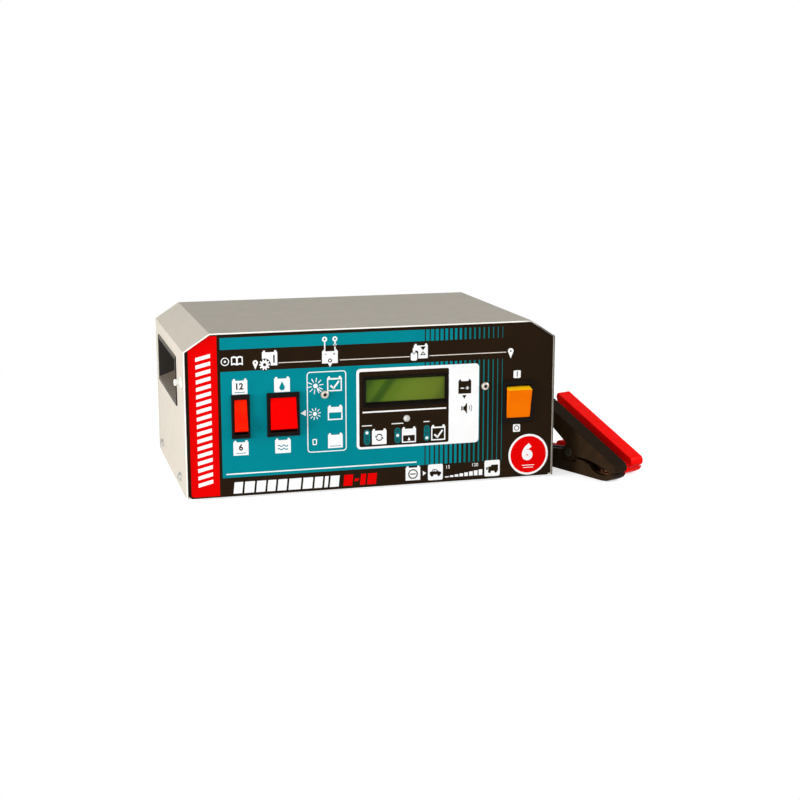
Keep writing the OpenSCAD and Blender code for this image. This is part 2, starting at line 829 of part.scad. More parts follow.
module switch_housing(x, bezel_w, rocker_w) {
    mouth_w = rocker_w + 2 * rocker_gap;
    body_w = mouth_w + 2 * housing_wall;
    color([0.06, 0.06, 0.06])
    translate([x, film_y, switch_mid_z]) difference() {
        union() {
            bevelled_slab(bezel_w, bezel_h, bezel_t, bezel_bevel);
            translate([-body_w / 2, 0, -housing_half_h]) cube([body_w, housing_d, 2 * housing_half_h]);
        }
        translate([-mouth_w / 2, -bezel_t - over, -opening_half_h])
            cube([mouth_w, bezel_t + over + cavity_d, 2 * opening_half_h]);
        translate([0, pivot_depth, 0]) rotate([0, 90, 0])
            cylinder(h = body_w + 2 * over, r = trunnion_r + run_fit, center = true, $fn = small_fn);
    }
}

module rocker(x, w, tilt) {
    translate([x, film_y + pivot_depth, switch_mid_z]) rotate([tilt, 0, 0]) {
        across_x(w) polygon([
            [-rocker_face, -rocker_half], [0, -rocker_root], [rocker_back, -rocker_back_half],
            [rocker_back, rocker_back_half], [0, rocker_root], [-rocker_face, rocker_half],
            [-rocker_face + rocker_dip, 0]
        ]);
        rotate([0, 90, 0])
            cylinder(h = w + 2 * trunnion_l, r = trunnion_r, center = true, $fn = small_fn);
    }
}

module slim_switch_housing() {
    switch_housing(slim_x, slim_bezel_w, slim_rocker_w);
}

module wide_switch_housing() {
    switch_housing(wide_x, wide_bezel_w, wide_rocker_w);
}

module power_switch_housing() {
    switch_housing(power_x, wide_bezel_w, wide_rocker_w);
}

module slim_rocker() {
    color([0.85, 0.05, 0.03]) rocker(slim_x, slim_rocker_w, -rocker_tilt);
}

module wide_rocker() {
    color([0.85, 0.03, 0.03]) rocker(wide_x, wide_rocker_w, -rocker_tilt);
}

module power_rocker() {
    color([0.95, 0.45, 0.02]) rocker(power_x, wide_rocker_w, rocker_tilt);
}

module terminal_column(x) {
    for (i = [-1:1])
        translate([x - tab_w / 2, film_y + housing_d, switch_mid_z + i * tab_pitch - tab_t / 2])
            cube([tab_w, tab_l, tab_t]);
}

module switch_terminals() {
    color([0.8, 0.65, 0.3]) {
        terminal_column(slim_x);
        for (x = [wide_x, power_x], side = [-1, 1]) terminal_column(x + side * tab_column);
    }
}

// ---- Overload cut-out ----

module at_button() {
    translate([-half_w, button_mid_y, button_mid_z]) rotate([0, 90, 0]) children();
}

module cutout_body() {
    neck_r = collar_r - 1;
    bore_l = button_in + button_travel + 1;
    collar_t = 1;
    color([0.88, 0.88, 0.86])
    difference() {
        union() {
            translate([-half_w + cover_t, button_mid_y - cutout_d / 2, button_mid_z - cutout_h / 2])
                cube([cutout_l, cutout_d, cutout_h]);
            at_button() {
                cylinder(h = cover_t + over, r = neck_r, $fn = round_fn);
                translate([0, 0, -collar_t]) cylinder(h = collar_t, r = collar_r, $fn = round_fn);
            }
        }
        at_button() translate([0, 0, -collar_t - over])
            cylinder(h = collar_t + over + bore_l, r = button_r + run_fit, $fn = round_fn);
    }
}

module reset_button() {
    round_over = 0.6;
    color([0.95, 0.95, 0.93])
    at_button() rotate_extrude($fn = round_fn) polygon([
        [0, -button_out], [button_r - round_over, -button_out], [button_r, -button_out + round_over],
        [button_r, button_in], [0, button_in]
    ]);
}

// ---- Transformer ----

strap_t = 1.5;
strap_w = 36;
trafo_foot_l = 13;
bolt_reach = core_w / 2 + strap_t + trafo_foot_l / 2;
window_w = (core_w - 4 * core_leg) / 2;
window_h = core_h - 2 * core_leg;
bobbin_wall = 1.5;
bobbin_fit = 0.3;
bobbin_half_w = core_leg + bobbin_fit + bobbin_wall;
bobbin_half_d = core_d / 2 + bobbin_fit + bobbin_wall;
bobbin_flange_t = 2;
winding_half_w = core_leg + window_w - 1;
winding_half_d = core_d / 2 + winding_out;
winding_corner = 5;
winding_low = core_leg + bobbin_fit + bobbin_flange_t;
winding_high = core_h - winding_low;

module at_transformer() {
    translate([trafo_x, front_y + trafo_y, tray_top_z]) children();
}

module at_transformer_bolts() {
    at_transformer() for (side = [-1, 1]) translate([side * bolt_reach, 0, 0]) children();
}

module transformer_core() {
    color([0.35, 0.35, 0.37])
    at_transformer() difference() {
        translate([-core_w / 2, -core_d / 2, 0]) cube([core_w, core_d, core_h]);
        for (side = [0, 1]) mirror([side, 0, 0])
            translate([core_leg, -core_d / 2 - over, core_leg])
                cube([window_w, core_d + 2 * over, window_h]);
    }
}

module coil_block(half_x, half_y, corner, low, high) {
    translate([0, 0, low]) linear_extrude(high - low) polygon([
        [-half_x + corner, -half_y], [half_x - corner, -half_y], [half_x, -half_y + corner],
        [half_x, half_y - corner], [half_x - corner, half_y], [-half_x + corner, half_y],
        [-half_x, half_y - corner], [-half_x, -half_y + corner]
    ]);
}

module transformer_bobbin() {
    flange_half_w = winding_half_w + 0.5;
    flange_half_d = winding_half_d + 0.5;
    low = core_leg + bobbin_fit;
    high = core_h - low;
    color([0.2, 0.2, 0.18])
    at_transformer() difference() {
        union() {
            coil_block(flange_half_w, flange_half_d, 1, low, low + bobbin_flange_t);
            coil_block(flange_half_w, flange_half_d, 1, high - bobbin_flange_t, high);
            translate([-bobbin_half_w, -bobbin_half_d, low])
                cube([2 * bobbin_half_w, 2 * bobbin_half_d, high - low]);
        }
        translate([-core_leg - bobbin_fit, -core_d / 2 - bobbin_fit, low - over])
            cube([2 * (core_leg + bobbin_fit), core_d + 2 * bobbin_fit, high - low + 2 * over]);
    }
}

module transformer_windings() {
    color([0.72, 0.42, 0.16])
    at_transformer() difference() {
        coil_block(winding_half_w, winding_half_d, winding_corner, winding_low, winding_high);
        translate([-bobbin_half_w, -bobbin_half_d, winding_low - over])
            cube([2 * bobbin_half_w, 2 * bobbin_half_d, winding_high - winding_low + 2 * over]);
    }
}

module transformer_frame() {
    outer = core_w / 2 + strap_t;
    color([0.66, 0.66, 0.64])
    at_transformer() difference() {
        union() {
            for (side = [0, 1]) mirror([side, 0, 0]) {
                translate([core_w / 2, -strap_w / 2, 0]) cube([strap_t, strap_w, core_h + strap_t]);
                translate([core_w / 2, -strap_w / 2, 0]) cube([strap_t + trafo_foot_l, strap_w, strap_t]);
            }
            translate([-outer, -strap_w / 2, core_h]) cube([2 * outer, strap_w, strap_t]);
        }
        for (side = [-1, 1]) translate([side * bolt_reach, 0, -over])
            cylinder(h = strap_t + 2 * over, r = bolt_r + fit, $fn = small_fn);
    }
}

module transformer_bolts() {
    head_h = 2.8;
    color([0.8, 0.8, 0.8])
    at_transformer_bolts() {
        translate([0, 0, -panel_t]) cylinder(h = panel_t + strap_t, r = bolt_r, $fn = small_fn);
        translate([0, 0, strap_t]) cylinder(h = head_h, r = 2 * bolt_r, $fn = hex_fn);
    }
}

// ---- Power board and heat sink ----

module at_pillars() {
    for (x = [power_left_x + pillar_inset, power_right_x - pillar_inset],
         y = [power_front_y + pillar_inset, power_back_y - pillar_inset])
        translate([x, y, tray_top_z]) children();
}

module power_board() {
    color([0.14, 0.42, 0.24])
    difference() {
        box([power_left_x, power_front_y, power_z], [power_right_x, power_back_y, power_top_z]);
        at_pillars() cylinder(h = pillar_h + board_t + over, r = 1.5 + fit, $fn = small_fn);
    }
}

module board_pillars() {
    snap_h = 2;
    color([0.92, 0.92, 0.88])
    at_pillars() {
        cylinder(h = pillar_h, r = pillar_r, $fn = small_fn);
        cylinder(h = pillar_h + board_t + snap_h, r = 1.5, $fn = small_fn);
    }
}

module capacitor() {
    color([0.12, 0.14, 0.2])
    translate([power_left_x + capacitor_inset[0], power_front_y + capacitor_inset[1], power_top_z])
    difference() {
        cylinder(h = capacitor_h, r = capacitor_r, $fn = round_fn);
        for (turn = [0, 90]) rotate([0, 0, turn])
            translate([-capacitor_r / 2, -0.4, capacitor_h - 0.6]) cube([capacitor_r, 0.8, over]);
    }
}

module relay() {
    color([0.1, 0.2, 0.45])
    translate([power_right_x - relay_inset[0], power_front_y + relay_inset[1], power_top_z]) cube(relay_size);
}

module heat_sink() {
    step = (sink_w - sink_fin_t) / (sink_fins - 1);
    color([0.55, 0.57, 0.6])
    translate([sink_left_x, sink_front_y, tray_top_z + panel_t]) {
        cube([sink_w, sink_base_t, sink_h]);
        for (i = [0:sink_fins - 1])
            translate([i * step, 0, 0]) cube([sink_fin_t, sink_base_t + sink_fin_l, sink_h]);
    }
}

module bridge_rectifier() {
    side = 28;
    thick = 10;
    pin_l = 12;
    pin_spread = 9;
    color([0.1, 0.1, 0.11])
    translate([sink_left_x + sink_w / 2, sink_front_y - thick, tray_top_z + sink_h / 2]) {
        translate([-side / 2, 0, -side / 2]) cube([side, thick, side]);
        for (x = [-pin_spread, pin_spread], z = [-pin_spread, pin_spread])
            translate([x - tab_w / 2, -pin_l, z - tab_t / 2]) cube([tab_w, pin_l, tab_t]);
    }
}

// ---- Glands ----

module gland(x, bore_r) {
    nut_t = 5;
    dome_r = gland_dome_r;
    color([0.08, 0.08, 0.08])
    translate([x, 0, gland_z]) difference() {
        union() {
            bar_y(gland_nut_r, rear_out_y, rear_out_y + nut_t, hex_fn);
            translate([0, rear_out_y + nut_t, 0]) rotate([-90, 0, 0]) rotate_extrude($fn = round_fn)
                polygon([[0, 0], [dome_r, 0], [dome_r, 1.5], [dome_r - 0.8, 3.4], [bore_r + 1.2, 5], [0, 5]]);
            bar_y(gland_thread_r, rear_in_y - gland_in, rear_out_y, round_fn);
            bar_y(gland_nut_r, rear_in_y - nut_t, rear_in_y, hex_fn);
        }
        bar_y(bore_r, rear_in_y - gland_in - over, rear_out_y + gland_out + over, round_fn);
    }
}

module mains_gland() {
    gland(mains_x, mains_bore_r);
}

module lead_gland() {
    gland(lead_x, lead_bore_r);
}

// ---- Battery lead ----

coil_in_r = coil_r - coil_pitch * coil_turns;
coil_end = 2 * coil_turns + 0.5 + coil_tail_turns;

// Radius and height of the coil after a number of turns: in, half a turn of climb, and out
function coil_radius(t) = t < coil_turns ? coil_r - coil_pitch * t
    : t < coil_turns + 0.5 ? coil_in_r
    : coil_in_r + (coil_end_r - coil_in_r) * (t - coil_turns - 0.5) / (coil_end - coil_turns - 0.5);
function coil_climb(t) = max(0, min(1, 2 * (t - coil_turns)));
function coil_height(t) = coil_low_z + coil_layer * (1 - cos(180 * coil_climb(t))) / 2;
function coil_point(t) = [
    coil_place[0] + coil_radius(t) * cos(360 * t),
    coil_place[1] + coil_radius(t) * sin(360 * t),
    coil_height(t)
];

coil_steps = ceil(coil_end * coil_rings);
coil_path = concat(
    [coil_point(0) - [0, lead_d, 0]],
    [for (i = [0:coil_steps]) coil_point(coil_end * i / coil_steps)],
    [coil_point(coil_end) + [lead_d, 0, 0]]
);

// Least gap between two parts of the coil that are more than half a turn apart
coil_gap = min([for (i = [0:len(coil_path) - 1], j = [0:len(coil_path) - 1])
    if (j - i > coil_rings / 2) norm(coil_path[i] - coil_path[j])]) - lead_d;

module lead_start() {
    color([0.07, 0.07, 0.07]) tube(lead_start_route, lead_d, lead_sides);
}

module lead_coil() {
    echo(coil_gap = coil_gap);
    color([0.07, 0.07, 0.07]) tube(coil_path, lead_d, coil_sides);
}

module lead_run() {
    color([0.07, 0.07, 0.07]) tube(lead_run_route, lead_d, lead_sides);
}

// A strap round the coil's turns, on the side away from the leads
module lead_tie() {
    strap = 0.8;
    gap = 0.25;
    width = 9;
    inner_r = coil_in_r - lead_d / 2 - gap;
    outer_r = coil_r + lead_d / 2 + gap;
    low = coil_low_z - lead_d / 2 - gap;
    high = coil_low_z + coil_layer + lead_d / 2 + gap;
    color([0.15, 0.15, 0.15])
    translate([coil_place[0], coil_place[1], 0]) difference() {
        box([-outer_r - strap, -width / 2, low - strap], [-inner_r + strap, width / 2, high + strap]);
        box([-outer_r, -width / 2 - over, low], [-inner_r, width / 2 + over, high]);
    }
}

// The moulded piece where the twin lead becomes two single cores
module lead_splitter() {
    start = last(lead_run_route)[0];
    mid_y = last(lead_run_route)[1];
    wide = core_spread + core_lead_d / 2 + 1.4;
    color([0.09, 0.09, 0.09])
    translate([start, mid_y, splitter_mid_z]) {
        intersection() {
            translate([0, 0, -splitter_mid_z]) linear_extrude(2 * splitter_mid_z) polygon([
                [0, -lead_d / 2 - 1], [6, -lead_d / 2 - 1], [splitter_l - 6, -wide],
                [splitter_l, -wide], [splitter_l, wide], [splitter_l - 6, wide],
                [6, lead_d / 2 + 1], [0, lead_d / 2 + 1]
            ]);
            rotate([90, 0, 0]) linear_extrude(4 * wide, center = true) polygon([
                [0, -splitter_mid_z + 0.3], [splitter_l, -splitter_mid_z + 0.3],
                [splitter_l, 1.6], [8, lead_d / 2 + 1], [0, lead_d / 2 + 1]
            ]);
        }
    }
}

module black_core() {
    color([0.07, 0.07, 0.07]) tube(black_route, core_lead_d, lead_sides);
}

module red_core() {
    color([0.85, 0.04, 0.03]) tube(red_route, core_lead_d, lead_sides);
}

// ---- Clamps ----

module at_clamp(place) {
    translate(place) rotate([0, 0, clamp_turn]) children();
}

module clamp_bar(r, length, facets = small_fn) {
    translate([pivot_x, 0, pivot_z]) rotate([90, 0, 0])
        cylinder(h = length, r = r, center = true, $fn = facets);
}

module side_solid(width, outline) {
    rotate([90, 0, 0]) linear_extrude(width, center = true) polygon(outline);
}

upper_inner_w = clamp_w - 2 * clamp_wall;
lower_ear_w = upper_inner_w - 2 * ear_fit;
upper_drop = -upper_top / cos(upper_lean);
upper_tail_x = 0.5;
nose_wall_x = clamp_l - 7.5;
cavity_end = clamp_l - 6;
rib_x = 55;
rib_t = 7;
rib_z = 18.5;
jaw_nose_z = 12.5;

// The upper arm: a channel that is open below, with an ear on each side of the rivet
module upper_arm() {
    difference() {
        union() {
            side_solid(clamp_w, upper_side);
            clamp_bar(ear_r, clamp_w, round_fn);
        }
        intersection() {
            translate([0, 0, upper_drop]) side_solid(upper_inner_w, concat(
                [tail_top, [-4, 44], [11, 16], [34, 0], [cavity_end, -12]],
                [[cavity_end, tail_top[1] - cavity_end * tan(upper_lean)]]
            ));
            translate([upper_tail_x, -clamp_w, -clamp_w])
                cube([nose_wall_x - upper_tail_x, 2 * clamp_w, 4 * clamp_w]);
        }
        clamp_bar(pin_r + run_fit, clamp_w + 2 * over);
    }
    intersection() {
        translate([rib_x, -clamp_w / 2 + clamp_wall / 2, rib_z])
            cube([rib_t, clamp_w - clamp_wall, clamp_w]);
        translate([0, 0, upper_drop / 2]) side_solid(clamp_w, upper_side);
    }
}

// The lower arm: a channel that is open above, with narrower ears inside the upper arm's
module lower_arm() {
    difference() {
        union() {
            difference() {
                side_solid(clamp_w, lower_side);
                clamp_bar(ear_r + arm_fit, clamp_w + 2 * over, round_fn);
            }
            side_solid(lower_ear_w, [
                [22, 1], [46, 1], [42, 8], [pivot_x + 6, pivot_z + 2], [pivot_x + 3, pivot_z + 5],
                [pivot_x - 3, pivot_z + 5], [pivot_x - 6, pivot_z + 2], [24, 12]
            ]);
        }
        side_solid(lower_ear_w - 2 * ear_t, [
            [tail_wall, lower_floor], [clamp_l - 10, lower_floor], [cavity_end, 5],
            [cavity_end, 60], [tail_wall, 60]
        ]);
        clamp_bar(pin_r + run_fit, clamp_w + 2 * over);
    }
}

// Points of a row of teeth between two ends of a jaw
function teeth(from, to, depth) = let (
    count = floor(abs(to[0] - from[0]) / tooth_pitch),
    step = (to - from) / count
) [for (i = [0:count - 1]) each [from + step * i, from + step * (i + 0.5) + [0, depth]]];

module upper_jaw() {
    half = lower_ear_w;
    color([0.8, 0.6, 0.3])
    difference() {
        side_solid(half, concat(
            teeth(upper_bite[0], upper_bite[1], upper_tooth_h),
            [upper_bite[1], [nose_wall_x, upper_bite[1][1]], [nose_wall_x, jaw_nose_z]],
            [[rib_x + rib_t, rib_z], [mouth_x, rib_z]]
        ));
        side_solid(half - 2 * jaw_t, [
            [40, 0], [nose_wall_x - jaw_t, 0], [nose_wall_x - jaw_t, jaw_nose_z - jaw_t],
            [rib_x + rib_t, rib_z - jaw_t], [40, rib_z - jaw_t]
        ]);
    }
}

module lower_jaw() {
    half = lower_ear_w - 2 * ear_t;
    color([0.8, 0.6, 0.3])
    difference() {
        side_solid(half, concat(
            [[mouth_x, lower_floor], [clamp_l - 10.5, lower_floor], [lower_bite[0][0], 4.6]],
            teeth(lower_bite[0], lower_bite[1], lower_tooth_h),
            [lower_bite[1]]
        ));
        side_solid(half - 2 * jaw_t, [
            [40, lower_floor + jaw_t], [clamp_l - 11.5, lower_floor + jaw_t],
            [clamp_l - 11.5, 12], [40, 12]
        ]);
    }
}

// Path of the torsion spring: down the upper leg, round the rivet, and along the lower leg
function spring_at(turn, y) = [pivot_x + spring_r * cos(turn), y, pivot_z + spring_r * sin(turn)];
spring_steps = ceil(spring_sweep / 360 * spring_rings);
spring_half = spring_pitch * spring_sweep / 720;
spring_stop = spring_start - spring_sweep;
spring_path = concat(
    [spring_at(spring_start, -spring_half)
        - spring_leg_up * [sin(spring_start), 0, -cos(spring_start)]],
    [for (i = [0:spring_steps]) spring_at(spring_start - spring_sweep * i / spring_steps,
        -spring_half + 2 * spring_half * i / spring_steps)],
    [spring_at(spring_stop, spring_half)
        + spring_leg_down * [sin(spring_stop), 0, -cos(spring_stop)]]
);
spring_gap = min([for (i = [1:len(spring_path) - 2], j = [1:len(spring_path) - 2])
    if (j - i > spring_rings / 2) norm(spring_path[i] - spring_path[j])]) - spring_wire;

module clamp_spring() {
    echo(spring_gap = spring_gap);
    color([0.7, 0.7, 0.72]) tube(spring_path, spring_wire, spring_sides, [0, 1, 0]);
}

// A rivet through both arms, with a head on each side
module clamp_rivet() {
    head_t = 1;
    clamp_bar(pin_r, clamp_w + 2 * head_t);
    for (side = [-1, 1]) translate([0, side * (clamp_w + head_t) / 2, 0])
        clamp_bar(pin_head_r, head_t);
}

module black_lower_arm() {
    color([0.1, 0.1, 0.1]) at_clamp(black_place) lower_arm();
}

module black_upper_arm() {
    color([0.1, 0.1, 0.1]) at_clamp(black_place) upper_arm();
}

module black_lower_jaw() {
    at_clamp(black_place) lower_jaw();
}

module black_upper_jaw() {
    at_clamp(black_place) upper_jaw();
}

module black_spring() {
    at_clamp(black_place) clamp_spring();
}

module red_lower_arm() {
    color([0.9, 0.05, 0.03]) at_clamp(red_place) lower_arm();
}

module red_upper_arm() {
    color([0.9, 0.05, 0.03]) at_clamp(red_place) upper_arm();
}

module red_lower_jaw() {
    at_clamp(red_place) lower_jaw();
}

module red_upper_jaw() {
    at_clamp(red_place) upper_jaw();
}

module red_spring() {
    at_clamp(red_place) clamp_spring();
}

module clamp_rivets() {
    color([0.8, 0.8, 0.8])
    for (place = [black_place, red_place]) at_clamp(place) clamp_rivet();
}

in_frame() cover();
in_frame() left_grip_cup();
in_frame() right_grip_cup();
in_frame() fascia_film();
in_frame() front_panel();
in_frame() base_tray();
in_frame() rear_panel();
in_frame() chassis_rivets();
in_frame() cover_screws();
in_frame() rubber_feet();
in_frame() fascia_screws();
in_frame() board_spacers();
in_frame() board_nuts();
in_frame() display_frame();
in_frame() display_glass();
in_frame() display_module();
in_frame() control_board();
in_frame() control_chips();
in_frame() sounder();
in_frame() status_lamp();
in_frame() slim_switch_housing();
in_frame() slim_rocker();
in_frame() wide_switch_housing();
in_frame() wide_rocker();
in_frame() power_switch_housing();
in_frame() power_rocker();
in_frame() switch_terminals();
in_frame() cutout_body();
in_frame() reset_button();
in_frame() transformer_core();
in_frame() transformer_bobbin();
in_frame() transformer_windings();
in_frame() transformer_frame();
in_frame() transformer_bolts();
in_frame() power_board();
in_frame() board_pillars();
in_frame() capacitor();
in_frame() relay();
in_frame() heat_sink();
in_frame() bridge_rectifier();
in_frame() mains_gland();
in_frame() lead_gland();
in_frame() lead_start();
in_frame() lead_coil();
in_frame() lead_run();
in_frame() lead_tie();
in_frame() lead_splitter();
in_frame() black_core();
in_frame() red_core();
in_frame() black_lower_arm();
in_frame() black_upper_arm();
in_frame() black_lower_jaw();
in_frame() black_upper_jaw();
in_frame() black_spring();
in_frame() red_lower_arm();
in_frame() red_upper_arm();
in_frame() red_lower_jaw();
in_frame() red_upper_jaw();
in_frame() red_spring();
in_frame() clamp_rivets();
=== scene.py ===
"""A bench battery charger: its finish, printed panel, cords and clamps, over the CAD frame."""

from math import ceil, cos, hypot, pi, radians, sin

import bmesh
import bpy
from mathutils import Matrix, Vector
from mathutils.geometry import tessellate_polygon


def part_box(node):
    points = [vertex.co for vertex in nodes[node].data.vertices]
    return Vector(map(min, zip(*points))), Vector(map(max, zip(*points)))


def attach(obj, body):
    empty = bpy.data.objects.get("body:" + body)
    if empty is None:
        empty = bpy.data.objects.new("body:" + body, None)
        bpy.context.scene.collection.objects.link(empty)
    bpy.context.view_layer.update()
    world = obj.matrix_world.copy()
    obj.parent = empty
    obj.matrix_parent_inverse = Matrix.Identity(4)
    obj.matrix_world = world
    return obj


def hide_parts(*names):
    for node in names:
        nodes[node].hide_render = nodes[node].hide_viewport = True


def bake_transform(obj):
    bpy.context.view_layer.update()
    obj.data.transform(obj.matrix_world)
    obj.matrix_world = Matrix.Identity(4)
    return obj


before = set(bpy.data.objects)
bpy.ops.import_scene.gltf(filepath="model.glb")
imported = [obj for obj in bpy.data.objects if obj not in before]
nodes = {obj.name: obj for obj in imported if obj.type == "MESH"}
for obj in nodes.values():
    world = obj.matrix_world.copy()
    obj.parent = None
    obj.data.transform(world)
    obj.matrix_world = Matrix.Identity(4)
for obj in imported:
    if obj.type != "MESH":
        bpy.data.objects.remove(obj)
for name in ("Cube", "Light", "Camera"):
    if name in bpy.data.objects:
        bpy.data.objects.remove(bpy.data.objects[name])
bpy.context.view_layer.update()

MM = 0.001
CASING = "casing"

# ---- Places that the frame gives ----

cover_low, cover_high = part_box("cover")
panel_mid_x = (cover_low.x + cover_high.x) / 2
panel_base_z = cover_low.z
film_face_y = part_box("fascia_film")[0].y
# Where the middle of the casing lies in the frame
shift = Vector((panel_mid_x, (cover_low.y + cover_high.y) / 2, 0))


def from_cad(point):
    """A point of part.scad, in millimetres from the casing's middle, as a point of the frame."""
    return Vector(point) * MM + shift


# ---- Camera, light and stage ----

CAMERA_AT = from_cad((-267.1, -1123.7, 284.3))
CAMERA_YAW = radians(15.41)
CAMERA_PITCH = radians(11.43)
CAMERA_LENS = 66.97
SENSOR_W = 36
CLIP_START = 0.01

WHITE = (1, 1, 1)
AMBIENT_TINT = (0.96, 0.98, 1)
AMBIENT_STRENGTH = 0.48
FLOOR_REACH = 6
# As it is seen, the floor takes the shadow with its diffuse share and glows with the rest
FLOOR_DIFFUSE = (0.8, 0.8, 0.8)
FLOOR_GLOW = (0.6, 0.6, 0.6)
# As it lights the object
FLOOR_BOUNCE = (0.78, 0.78, 0.78)
# How far from the middle it begins to turn white, and where it is white
FLOOR_FADE = (0.22, 0.55)
LIGHTS_AIM = (0, 0, 0.06)


def placed(name, data):
    """A new object in the scene."""
    item = bpy.data.objects.new(name, data)
    bpy.context.scene.collection.objects.link(item)
    return item


def make_camera():
    data = bpy.data.cameras.new("camera")
    data.lens = CAMERA_LENS
    data.sensor_width = SENSOR_W
    data.clip_start = CLIP_START
    camera = placed("camera", data)
    camera.location = CAMERA_AT
    look = Vector((
        sin(CAMERA_YAW) * cos(CAMERA_PITCH),
        cos(CAMERA_YAW) * cos(CAMERA_PITCH),
        -sin(CAMERA_PITCH),
    ))
    camera.rotation_euler = look.to_track_quat("-Z", "Y").to_euler()
    bpy.context.scene.camera = camera


def area_light(name, place, target, size, power, tint=WHITE, mirrored=True):
    """A soft rectangle of light, which shiny surfaces show if it is mirrored."""
    data = bpy.data.lights.new(name, "AREA")
    data.shape = "RECTANGLE"
    data.size, data.size_y = size
    data.energy = power
    data.color = tint
    light = placed(name, data)
    light.visible_glossy = mirrored
    light.location = place
    light.rotation_euler = (Vector(target) - Vector(place)).to_track_quat("-Z", "Y").to_euler()


def coloured(tree, kind, colour):
    """The output of a new background, emission or diffuse node of that colour."""
    node = tree.nodes.new("ShaderNode" + kind)
    node.inputs["Color"].default_value = (*colour, 1)
    return node.outputs[0]


def joined(tree, kind, *sources):
    """The output of a new node whose inputs are those sockets, in their order."""
    node = tree.nodes.new("ShaderNode" + kind)
    for source, socket in zip(sources, node.inputs):
        tree.links.new(source, socket)
    return node.outputs[0]


def seen_directly(tree):
    """A socket that is 1 for the rays that show a background: camera, glossy and transmission."""
    path = tree.nodes.new("ShaderNodeLightPath")
    shown = path.outputs["Is Camera Ray"]
    for ray in ("Is Glossy Ray", "Is Transmission Ray"):
        shown = joined(tree, "Math", shown, path.outputs[ray])
        shown.node.operation = "MAXIMUM"
    return shown


def make_world():
    world = bpy.data.worlds.new("studio")
    bpy.context.scene.world = world
    world.use_nodes = True
    tree = world.node_tree
    tree.nodes.clear()
    ambient = coloured(tree, "Background", AMBIENT_TINT)
    ambient.node.inputs["Strength"].default_value = AMBIENT_STRENGTH
    white = coloured(tree, "Background", WHITE)
    out = tree.nodes.new("ShaderNodeOutputWorld")
    tree.links.new(joined(tree, "MixShader", seen_directly(tree), ambient, white), out.inputs[0])


def make_floor():
    """A pale floor that keeps the object's shadow and turns white further out."""
    mesh = bpy.data.meshes.new("floor")
    far = FLOOR_REACH
    corners = [(-far, -far, 0), (far, -far, 0), (far, far, 0), (-far, far, 0)]
    mesh.from_pydata(corners, [], [(0, 1, 2, 3)])
    floor = placed("floor", mesh)
    material = bpy.data.materials.new("floor")
    material.use_nodes = True
    tree = material.node_tree
    tree.nodes.clear()
    sheet = coloured(tree, "BsdfDiffuse", FLOOR_DIFFUSE)
    paper = joined(tree, "AddShader", sheet, coloured(tree, "Emission", FLOOR_GLOW))
    white = coloured(tree, "Emission", WHITE)
    distance = tree.nodes.new("ShaderNodeVectorMath")
    distance.operation = "LENGTH"
    coords = tree.nodes.new("ShaderNodeTexCoord")
    tree.links.new(coords.outputs["Object"], distance.inputs[0])
    fade = tree.nodes.new("ShaderNodeMapRange")
    fade.interpolation_type = "SMOOTHSTEP"
    fade.inputs["From Min"].default_value, fade.inputs["From Max"].default_value = FLOOR_FADE
    tree.links.new(distance.outputs["Value"], fade.inputs["Value"])
    seen = joined(tree, "MixShader", fade.outputs["Result"], paper, white)
    bounce = coloured(tree, "BsdfDiffuse", FLOOR_BOUNCE)
    out = tree.nodes.new("ShaderNodeOutputMaterial")
    tree.links.new(joined(tree, "MixShader", seen_directly(tree), bounce, seen), out.inputs[0])
    mesh.materials.append(material)


bpy.context.scene.view_settings.view_transform = "Standard"
make_camera()
make_world()
make_floor()
# The key light is low, so its mirror image would whiten the casing's top from behind
area_light("key", (-1.56, -0.44, 0.28), LIGHTS_AIM, (0.9, 0.5), 33, (0.97, 0.98, 1), mirrored=False)
area_light("front", (-0.6, -1.7, 0.4), LIGHTS_AIM, (1.2, 0.5), 5)
area_light("right", (1.4, -0.5, 0.75), (0.18, -0.06, 0.03), (0.7, 0.5), 12)


# ---- Materials ----


def linear(red, green, blue):
    """A colour written as 0 to 255, as a linear colour."""
    parts = [c / 255 for c in (red, green, blue)]
    return tuple(c / 12.92 if c <= 0.04045 else ((c + 0.055) / 1.055) ** 2.4 for c in parts) + (1,)


def shaded(colour, factor):
    return tuple(min(1, c * factor) for c in colour[:3]) + (1,)


